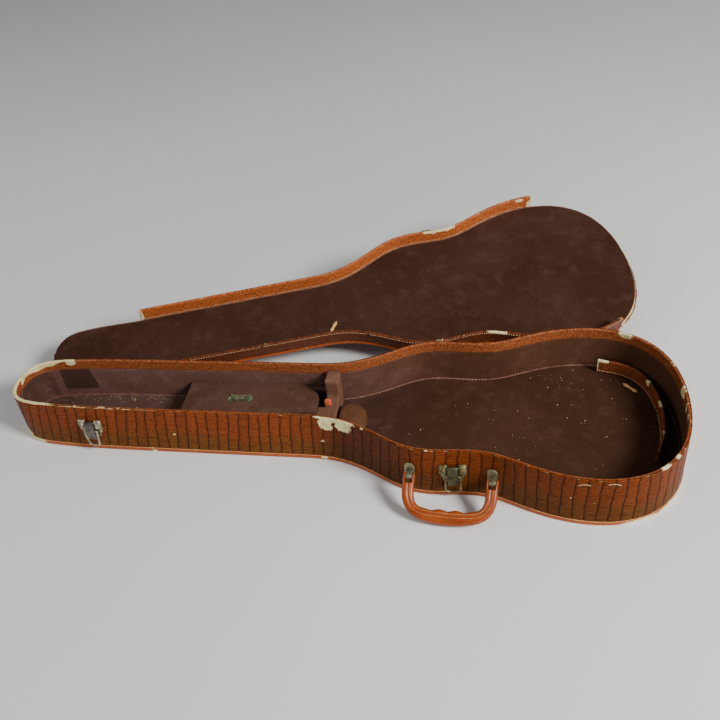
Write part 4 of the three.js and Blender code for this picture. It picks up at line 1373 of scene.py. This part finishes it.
def add_rim_board(side, stations, whole_start):
    """The board within the rim, torn at its ends; a whole start stays inside its covering."""
    levels = np.linspace(69.3, 98.2, 8)
    core = [(4.3, z) for z in levels] + [(7.0, z) for z in levels[::-1]]
    arc = widened(stations, len(core))
    torn = 1.5 * smooth_noise(np.arange(len(core)) * 1.7, seed=141 + len(side))
    arc[0] -= -4.0 if whole_start else np.clip(0.6 + torn, -0.5, 2.0)
    arc[-1] += np.clip(0.6 + torn[::-1], -0.5, 2.0)
    grid(f"rim_board_{side}", swept(arc, core), BOARD, "lid", (f"rim_{side}",), close_v=True,
         caps=True, u=stations, matrix=LID_OPEN, sharp=50)


def add_rim_trim(side, stations):
    """The binding strip between the rim and the lid panel."""
    s0, s1 = stations[0], stations[-1]
    arc = widened(stations, len(RIM_TRIM))
    worn = 0.36 + 0.13 * smooth_noise(arc / 9, seed=143)
    worn = worn + 0.3 * smoothstep(-(arc - s0), -8, 0) + 0.3 * smoothstep(arc, s1 - 8, s1)
    grid(f"lid_trim_{side}", swept(stations, RIM_TRIM), BINDING, "lid", (f"lid_binding_{side}",),
         close_v=True, caps=True, wear_and_painted_light=np.clip(worn, 0, 1), u=stations, v=[z for _, z in RIM_TRIM],
         matrix=LID_OPEN)


def add_rim(side, x0, x1):
    """One side of the lid's rim: covering, board, binding and two rows of stitches."""
    s0, s1 = OUTLINE.side(side, x0, x1)
    stations = np.linspace(s0, s1, int((s1 - s0) / 3.0))
    first, last = RIM_END_WEAR[side]
    add_rim_cloth(side, stations, first, last)
    add_rim_board(side, stations, first == 0)
    add_rim_trim(side, stations)
    line = np.column_stack(OUTLINE.at(stations))
    for face, offset, z in (("inside", RIM_INSIDE - 0.1, 89.8), ("outside", RIM_OUTSIDE + 0.1, 70.4)):
        stitch_line(f"rim_stitches_{side}_{face}", line, OUTLINE.normals(stations), offset, z, "lid",
                    LID_OPEN)


# ---- hardware ----
def latch_frame(name):
    """Matrix of a latch's place on the front wall: x along the wall, y inwards, z up, in millimetres."""
    joint = next(j for j in frame["joints"] if j["name"] == f"latch_{name}_lever_swing")
    axis = Vector(joint["axis"])
    inward = Vector((0, 0, 1)).cross(axis)
    at = Vector(joint["pos_m"]) / MM + inward * 3.9
    return Matrix(((axis.x, inward.x, 0, at.x), (axis.y, inward.y, 0, at.y), (0, 0, 1, 0), (0, 0, 0, 1)))


BACKPLATE_HALF = [
    (7.9, 56.0), (7.9, 64.5), (9.0, 66.0), (18.6, 66.0), (20.4, 63.5), (19.6, 56.0), (20.2, 50.0),
    (17.6, 43.0), (14.8, 38.5), (13.6, 33.5), (10.5, 30.6), (4.0, 30.0),
]
EAR_PROFILE = (
    (42.0, 44.0, 49.5, 52.0, 57.0, 63.0, 64.6, 65.4),
    (-2.3, -3.6, -4.8, -5.9, -6.0, -5.8, -4.6, -2.3),
)
EAR_EDGE = ((42.0, 46.0, 51.0, 56.0, 61.0, 64.0, 65.4), (14.0, 17.5, 18.4, 20.4, 20.2, 18.6, 17.0))
EAR_INNER = 8.2
TONGUE_FACE = ((28.0, 45.0, 50.0, 61.0), (-7.4, -10.0, -10.0, -7.0))
LOOP = dict(top=47.0, low=15.7, wide=10.9, y=-7.8, bend=5.0)


def mirrored(half):
    """A half outline in x, z and its mirror image, as one line."""
    return half + [(-x, z) for x, z in reversed(half)]


def tongue_face(z):
    """Local y of the tongue's outer face at height z."""
    return float(np.interp(z, *TONGUE_FACE))


def add_latch_ear(name, side, place, metal):
    """One raised wing of the pressed plate, with a scroll on it."""
    heights = np.linspace(42.0, 65.4, 30)
    t = np.linspace(0, 1, 14)
    depth = np.interp(heights, *EAR_PROFILE)[:, None]
    edge = np.interp(heights, *EAR_EDGE)[:, None]
    rise = np.sqrt(np.clip(1 - t ** 6, 0, 1)) * np.sqrt(np.clip(1 - (1 - t) ** 10, 0, 1))
    x = side * (EAR_INNER + (edge - EAR_INNER) * t)
    front = np.stack([x, -1.6 + (depth + 1.6) * rise, widened(heights, len(t))], axis=-1)
    back = front[:, ::-1].copy()
    back[..., 1] = -1.5
    points = [[place @ Vector(p) for p in row] for row in np.concatenate([front, back], axis=1)]
    label = "left" if side < 0 else "right"
    grid(f"latch_{name}_wing_{label}", points, metal, "case_body", close_v=True, caps=True, sharp=55)
    turn = np.linspace(0.4, 3.6 * math.pi, 60)
    line = []
    for a, r in zip(turn, 0.7 + 3.3 * turn / turn[-1]):
        px, pz = 14.0 + r * math.cos(a), 56.0 + 1.25 * r * math.sin(a)
        line.append(place @ Vector((side * px, float(np.interp(pz, *EAR_PROFILE)) - 0.12, pz)))
    wire(f"latch_{name}_scroll_{label}", line, 0.42, metal, "case_body", sides=8)


def add_latch_plate(name, place, metal):
    """The pressed plate on the wall, with its two wings."""
    backplate = extruded(f"latch_{name}_backplate", mirrored(BACKPLATE_HALF), -2.1, -1.1, metal,
                         "case_body", (f"latch_{name}_plate",), width=0.35, segments=2, axis="y")
    in_metres = place.copy()
    in_metres.translation = place.translation * MM
    backplate.data.transform(in_metres)
    for side in (-1, 1):
        add_latch_ear(name, side, place, metal)
    recolor(f"latch_{name}_pin", metal)


def add_latch_tongue(name, place, metal, dark):
    """The lever, with its two eyelets."""
    body = f"latch_{name}_lever"
    rounded_copy(body, f"latch_{name}_tongue", dark, body, 0.8, 3)
    outward = place.to_3x3() @ Vector((0, -1, 0))
    for i, (x, z) in enumerate(((3.0, 47.5), (-3.2, 36.0))):
        ring = [place @ Vector((x + 1.9 * math.cos(a), tongue_face(z) - 0.1, z + 2.3 * math.sin(a)))
                for a in np.linspace(0, 2 * math.pi, 24)]
        wire(f"latch_{name}_eyelet_{i}", ring, 0.4, metal, body, sides=8)
        # A dark disc stands in for the eyelet's hole: painted shade.
        eye = place @ Vector((x, tongue_face(z) + 0.1, z))
        dome(f"latch_{name}_eye_{i}", eye, outward, 1.8, 0.25, EYE_HOLE_SHADE, body)


def add_latch_loop(name, place, metal, narrow, radius):
    """The wire loop: a frame that narrows downwards, with round lower corners."""
    top, low, wide, bend = (LOOP[key] for key in ("top", "low", "wide", "bend"))
    left = [(-4.2, top), (-wide + 2, top), (-wide, top - 2), (-narrow, low + bend)]
    for a in np.linspace(0, math.pi / 2, 8)[1:]:
        left.append((-narrow + bend * (1 - math.cos(a)), low + bend * (1 - math.sin(a))))
    points = [place @ Vector((x, LOOP["y"], z)) for x, z in resample(np.array(mirrored(left)), 0.8)]
    body = f"latch_{name}_loop"
    wire(f"latch_{name}_loop_wire", points, radius, metal, body, (body,))


def add_latch(name, metal, dark, narrow, radius):
    """A whole latch; narrow is the half width of its loop at the bottom."""
    place = latch_frame(name)
    add_latch_plate(name, place, metal)
    add_latch_tongue(name, place, metal, dark)
    add_latch_loop(name, place, metal, narrow, radius)


def add_hinges():
    """Three hinges along the line on which lid and tray meet."""
    for place in ("neck", "shoulder", "bout"):
        for side, body in (("tray", "case_body"), ("lid", "lid")):
            leaf = f"hinge_{place}_{side}"
            rounded_copy(f"{leaf}_leaf", f"{leaf}_plate", NICKEL, body, 0.25)
        recolor(f"hinge_{place}_pin", NICKEL)


GROOVE = [
    (-59.5, -4), (-59.5, 20), (-57, 33), (-50, 43.5), (-38, 49), (-20, 50.8), (0, 51.5), (20, 50.8), (38, 49),
    (50, 43.5), (57, 33), (59.5, 20), (59.5, -4),
]


def press_groove(mesh):
    """Press the moulded groove into both faces of the grip, between its ribbed inside and its back, and mark
    a pale line beside it that is partly rubbed wear and partly painted highlight.
    """
    joint = next(j for j in frame["joints"] if j["name"] == "handle_swing")
    up = np.array((0, 0, 1))
    across = -np.array(joint["axis"])
    inward = np.cross(up, across)
    down = -math.sin(HANDLE_REST) * inward - math.cos(HANDLE_REST) * up
    out = math.cos(HANDLE_REST) * inward - math.sin(HANDLE_REST) * up
    co = read_vertices(mesh)
    local = (co - np.array(joint["pos_m"])) / MM
    a, b, c = local @ across, local @ down, local @ out
    line = catmull_rom(GROOVE, 160)
    gap = np.sqrt((a[:, None] - line[:, 0]) ** 2 + (b[:, None] - line[:, 1]) ** 2).min(axis=1)
    face = smoothstep(np.abs(c), 3.5, 5.0) * smoothstep(b, 6, 12)
    sink = face * (1.1 * np.exp(-(gap / 1.1) ** 2) - 0.25 * np.exp(-((gap - 3.0) / 1.4) ** 2))
    # A pale line along the raised strip beside the groove, none in the groove itself: partly rubbed wear and
    # partly painted highlight.
    rubbed_and_highlit = 0.62 * np.exp(-((gap - 2.6) / 1.2) ** 2) - 0.8 * np.exp(-(gap / 1.0) ** 2)
    add_wear_and_painted_light(mesh, np.clip(rubbed_and_highlit * face, 0, 1))
    write_vertices(mesh, co - (np.sign(c) * sink)[:, None] * out * MM)


def add_handle():
    """The moulded grip with its pressed groove, and the brackets at both ends."""
    mesh = frame["nodes"]["handle"].data.copy()
    mesh.name = "handle_grip"
    edit(mesh, weld(1e-5))
    grip = finish_object(mesh, PLASTIC, "handle", ("handle",), 40)
    press_groove(remesh(grip, PLASTIC, 0.9, smoothing=14))
    for end in ("head", "tail"):
        bracket = f"handle_bracket_{end}"
        rounded_copy(bracket, f"{bracket}_cap", NICKEL_PALE, "case_body", 0.6, 3)
        recolor(f"handle_pin_{end}", NICKEL)


# ---- debris ----
def add_splinter(name, start, end, width, thickness, body, matrix, seed):
    """A flat sliver of wood from start to end, thin at both tips."""
    start, end = np.array(start, float), np.array(end, float)
    t = np.linspace(0, 1, 14)
    middle = start + (end - start) * t[:, None]
    direction = (end - start) / np.linalg.norm(end - start)
    side = np.array((-direction[1], direction[0], 0))
    taper = np.clip(np.minimum(t, 1 - t) * 6, 0.12, 1) * (1 + 0.25 * smooth_noise(t * 9, seed=seed))
    rows = []
    for p, k in zip(middle, taper):
        w, h = width * k / 2, thickness * k
        left, right = p - side * w * 0.6 + (0, 0, h), p + side * w * 0.7 + (0, 0, h * 0.8)
        rows.append([p - side * w, left, right, p + side * w])
    grid(name, rows, SPLINTER, body, close_v=True, caps=True, matrix=matrix)


def add_lid_welt():
    """The rolled edge of the lid's lining."""
    for side, x0 in (("front", LID_HEAD["x"] + LID_HEAD["radius"]), ("back", -320)):
        s0, s1 = OUTLINE.side(side, x0, 534)
        arc = widened(np.linspace(s0, s1, int((s1 - s0) / 2.5)), 8)
        size = 1.0 + 0.2 * smooth_noise(arc / 5.0, seed=171)
        points = roll(arc, size, 1.9, LID_LINING[0], 0.8)
        points[..., 1] = lid_edge_trim(points[..., 0], points[..., 1])
        grid(f"lid_welt_{side}", points, WELT, "lid", close_v=True, caps=True, matrix=LID_OPEN)


def add_debris():
    """What has come loose: two splinters, and crumbs on the floor."""
    add_splinter("floor_splinter", (457, 117, 16.6), (478, 96, 16.6), 5.5, 1.6, "case_body", None, 151)
    height = LID_LINING[0] - 2.4
    add_splinter("lid_splinter", (-17, 50, height), (-3, 28, height), 5.0, 1.9, "lid", LID_OPEN, 152)
    add_crumbs("floor_crumbs", 240, "case_body", 161)


CRUMB_CORNERS = 5
COMPARTMENT = dict(x0=-262, x1=58, y=60)


def add_crumbs(name, count, body, seed):
    """Crumbs of torn board lying on the padded floor, all in one piece."""
    rng = Random(seed)
    vertices, faces = [], []
    placed = 0
    while placed < count:
        cluster = rng.random()
        if cluster < 0.08:
            x, y = rng.gauss(410, 60), rng.gauss(128, 24)
        elif cluster < 0.36:
            x, y = rng.uniform(-505, -265), 51 - abs(rng.gauss(0, 7))
        else:
            x, y = rng.uniform(-500, 500), rng.uniform(-150, 150)
        inside = OUTLINE.half_width(x, -10.0)
        in_box = COMPARTMENT["x0"] < x < COMPARTMENT["x1"] and abs(y) < COMPARTMENT["y"]
        if abs(x) > 520 or abs(y) > inside or in_box:
            continue
        size = rng.choice((0.3, 0.4, 0.5, 0.8)) * rng.uniform(0.8, 1.25)
        base = len(vertices)
        z = FLOOR_TOP + 0.35
        for a in range(CRUMB_CORNERS):
            angle = a * 2 * math.pi / CRUMB_CORNERS + rng.uniform(-0.3, 0.3)
            r = size * rng.uniform(0.6, 1.2)
            vertices.append((x + r * math.cos(angle), y + r * math.sin(angle), z - 1.2))
        top = (rng.uniform(-0.2, 0.2), rng.uniform(-0.2, 0.2), size * rng.uniform(0.3, 0.8))
        vertices.append((x + top[0], y + top[1], z + top[2]))
        for a in range(CRUMB_CORNERS):
            faces.append([base + a, base + (a + 1) % CRUMB_CORNERS, base + CRUMB_CORNERS])
        faces.append([base + a for a in range(CRUMB_CORNERS)])
        placed += 1
    make_object(name, vertices, faces, BOARD, body)


# ---- carried-over nodes ----
def dress_frame():
    """Finish for the CAD nodes that keep their shape, and the catch with its edges eased."""
    recolor("bottom_board", BOARD)
    rounded_copy("latch_catch", "latch_catch_hook", NICKEL, "lid", 0.3)


# ---- stage ----
LIGHTS = {
    "key": dict(at=(2.60, -1.15, 2.15), target=(0.0, 0.05, 0.05), size=1.1, power=158),
    "fill": dict(at=(-2.3, -0.4, 1.5), target=(0.1, 0.0, 0.0), size=1.6, power=16),
    "front": dict(at=(1.0, -2.4, 0.9), target=(0.0, 0.0, 0.05), size=1.0, power=10),
}


def add_stage():
    """The ground, a dim surrounding light and the lamps."""
    bpy.ops.mesh.primitive_plane_add(size=9.0, location=(0, 0.4, 0))
    floor = bpy.context.object
    floor.name = "studio_floor"
    p = Paint("studio_floor")
    tone = p.mix(p.step(p.noise(1.3, 2, 0.5), 0.3, 0.7), (0.80, 0.79, 0.77), (0.83, 0.82, 0.80))
    floor.data.materials.append(p.finish(tone, 0.85, Specular_IOR_Level=0.15))

    world = bpy.data.worlds.new("studio")
    world.use_nodes = True
    world.node_tree.nodes["Background"].inputs[0].default_value = (0.95, 0.96, 1.0, 1)
    world.node_tree.nodes["Background"].inputs[1].default_value = 0.20
    bpy.context.scene.world = world

    for name, light in LIGHTS.items():
        add_area(name, **light)


def add_area(name, at, target, size, power):
    """A round lamp that faces its target; places and size are in metres."""
    data = bpy.data.lights.new(name, "AREA")
    data.shape = "DISK"
    data.size = size
    data.energy = power
    obj = bpy.data.objects.new(name, data)
    obj.location = at
    obj.rotation_mode = "QUATERNION"
    obj.rotation_quaternion = (Vector(target) - Vector(at)).to_track_quat("-Z", "Y")
    bpy.context.scene.collection.objects.link(obj)


CAMERA_AT = Vector((0.2692, -0.9755, 0.9754))
CAMERA_AZIMUTH = math.radians(12.6)
CAMERA_ELEVATION = math.radians(39.47)
CAMERA_ROLL = math.radians(-6.78)
CAMERA_LENS = 42.9


def add_camera():
    """The camera, turned by its azimuth, elevation and roll."""
    data = bpy.data.cameras.new("camera")
    data.lens = CAMERA_LENS
    data.sensor_width = 36
    data.clip_start, data.clip_end = 0.05, 50
    camera = bpy.data.objects.new("camera", data)
    forward = Vector((
        -math.sin(CAMERA_AZIMUTH) * math.cos(CAMERA_ELEVATION),
        math.cos(CAMERA_AZIMUTH) * math.cos(CAMERA_ELEVATION),
        -math.sin(CAMERA_ELEVATION),
    ))
    level = forward.cross(Vector((0, 0, 1))).normalized()
    above = level.cross(forward)
    right = level * math.cos(CAMERA_ROLL) + above * math.sin(CAMERA_ROLL)
    up = right.cross(forward)
    rotation = Matrix((right, up, -forward)).transposed().to_4x4()
    camera.matrix_world = Matrix.Translation(CAMERA_AT) @ rotation
    bpy.context.scene.collection.objects.link(camera)
    bpy.context.scene.camera = camera


add_camera()
add_stage()
dress_frame()
add_bottom()
add_wall_board()
add_tray_covering()
add_scratches()
add_tray_binding()
add_tray_lining()
add_floor()
add_neck_rest()
add_heel_pad()
add_notch_tab()
add_compartment()
add_pull()
add_loose_rim()
add_lid_panels()
add_rim("front", *RIM_FRONT)
add_rim("back", *RIM_BACK)
add_latch("head", NICKEL, NICKEL_DARK, 8.4, 1.85)
add_latch("body", BRASS, BRASS_DARK, 11.0, 1.6)
add_hinges()
add_handle()
add_lid_welt()
add_debris()

bpy.context.view_layer.update()
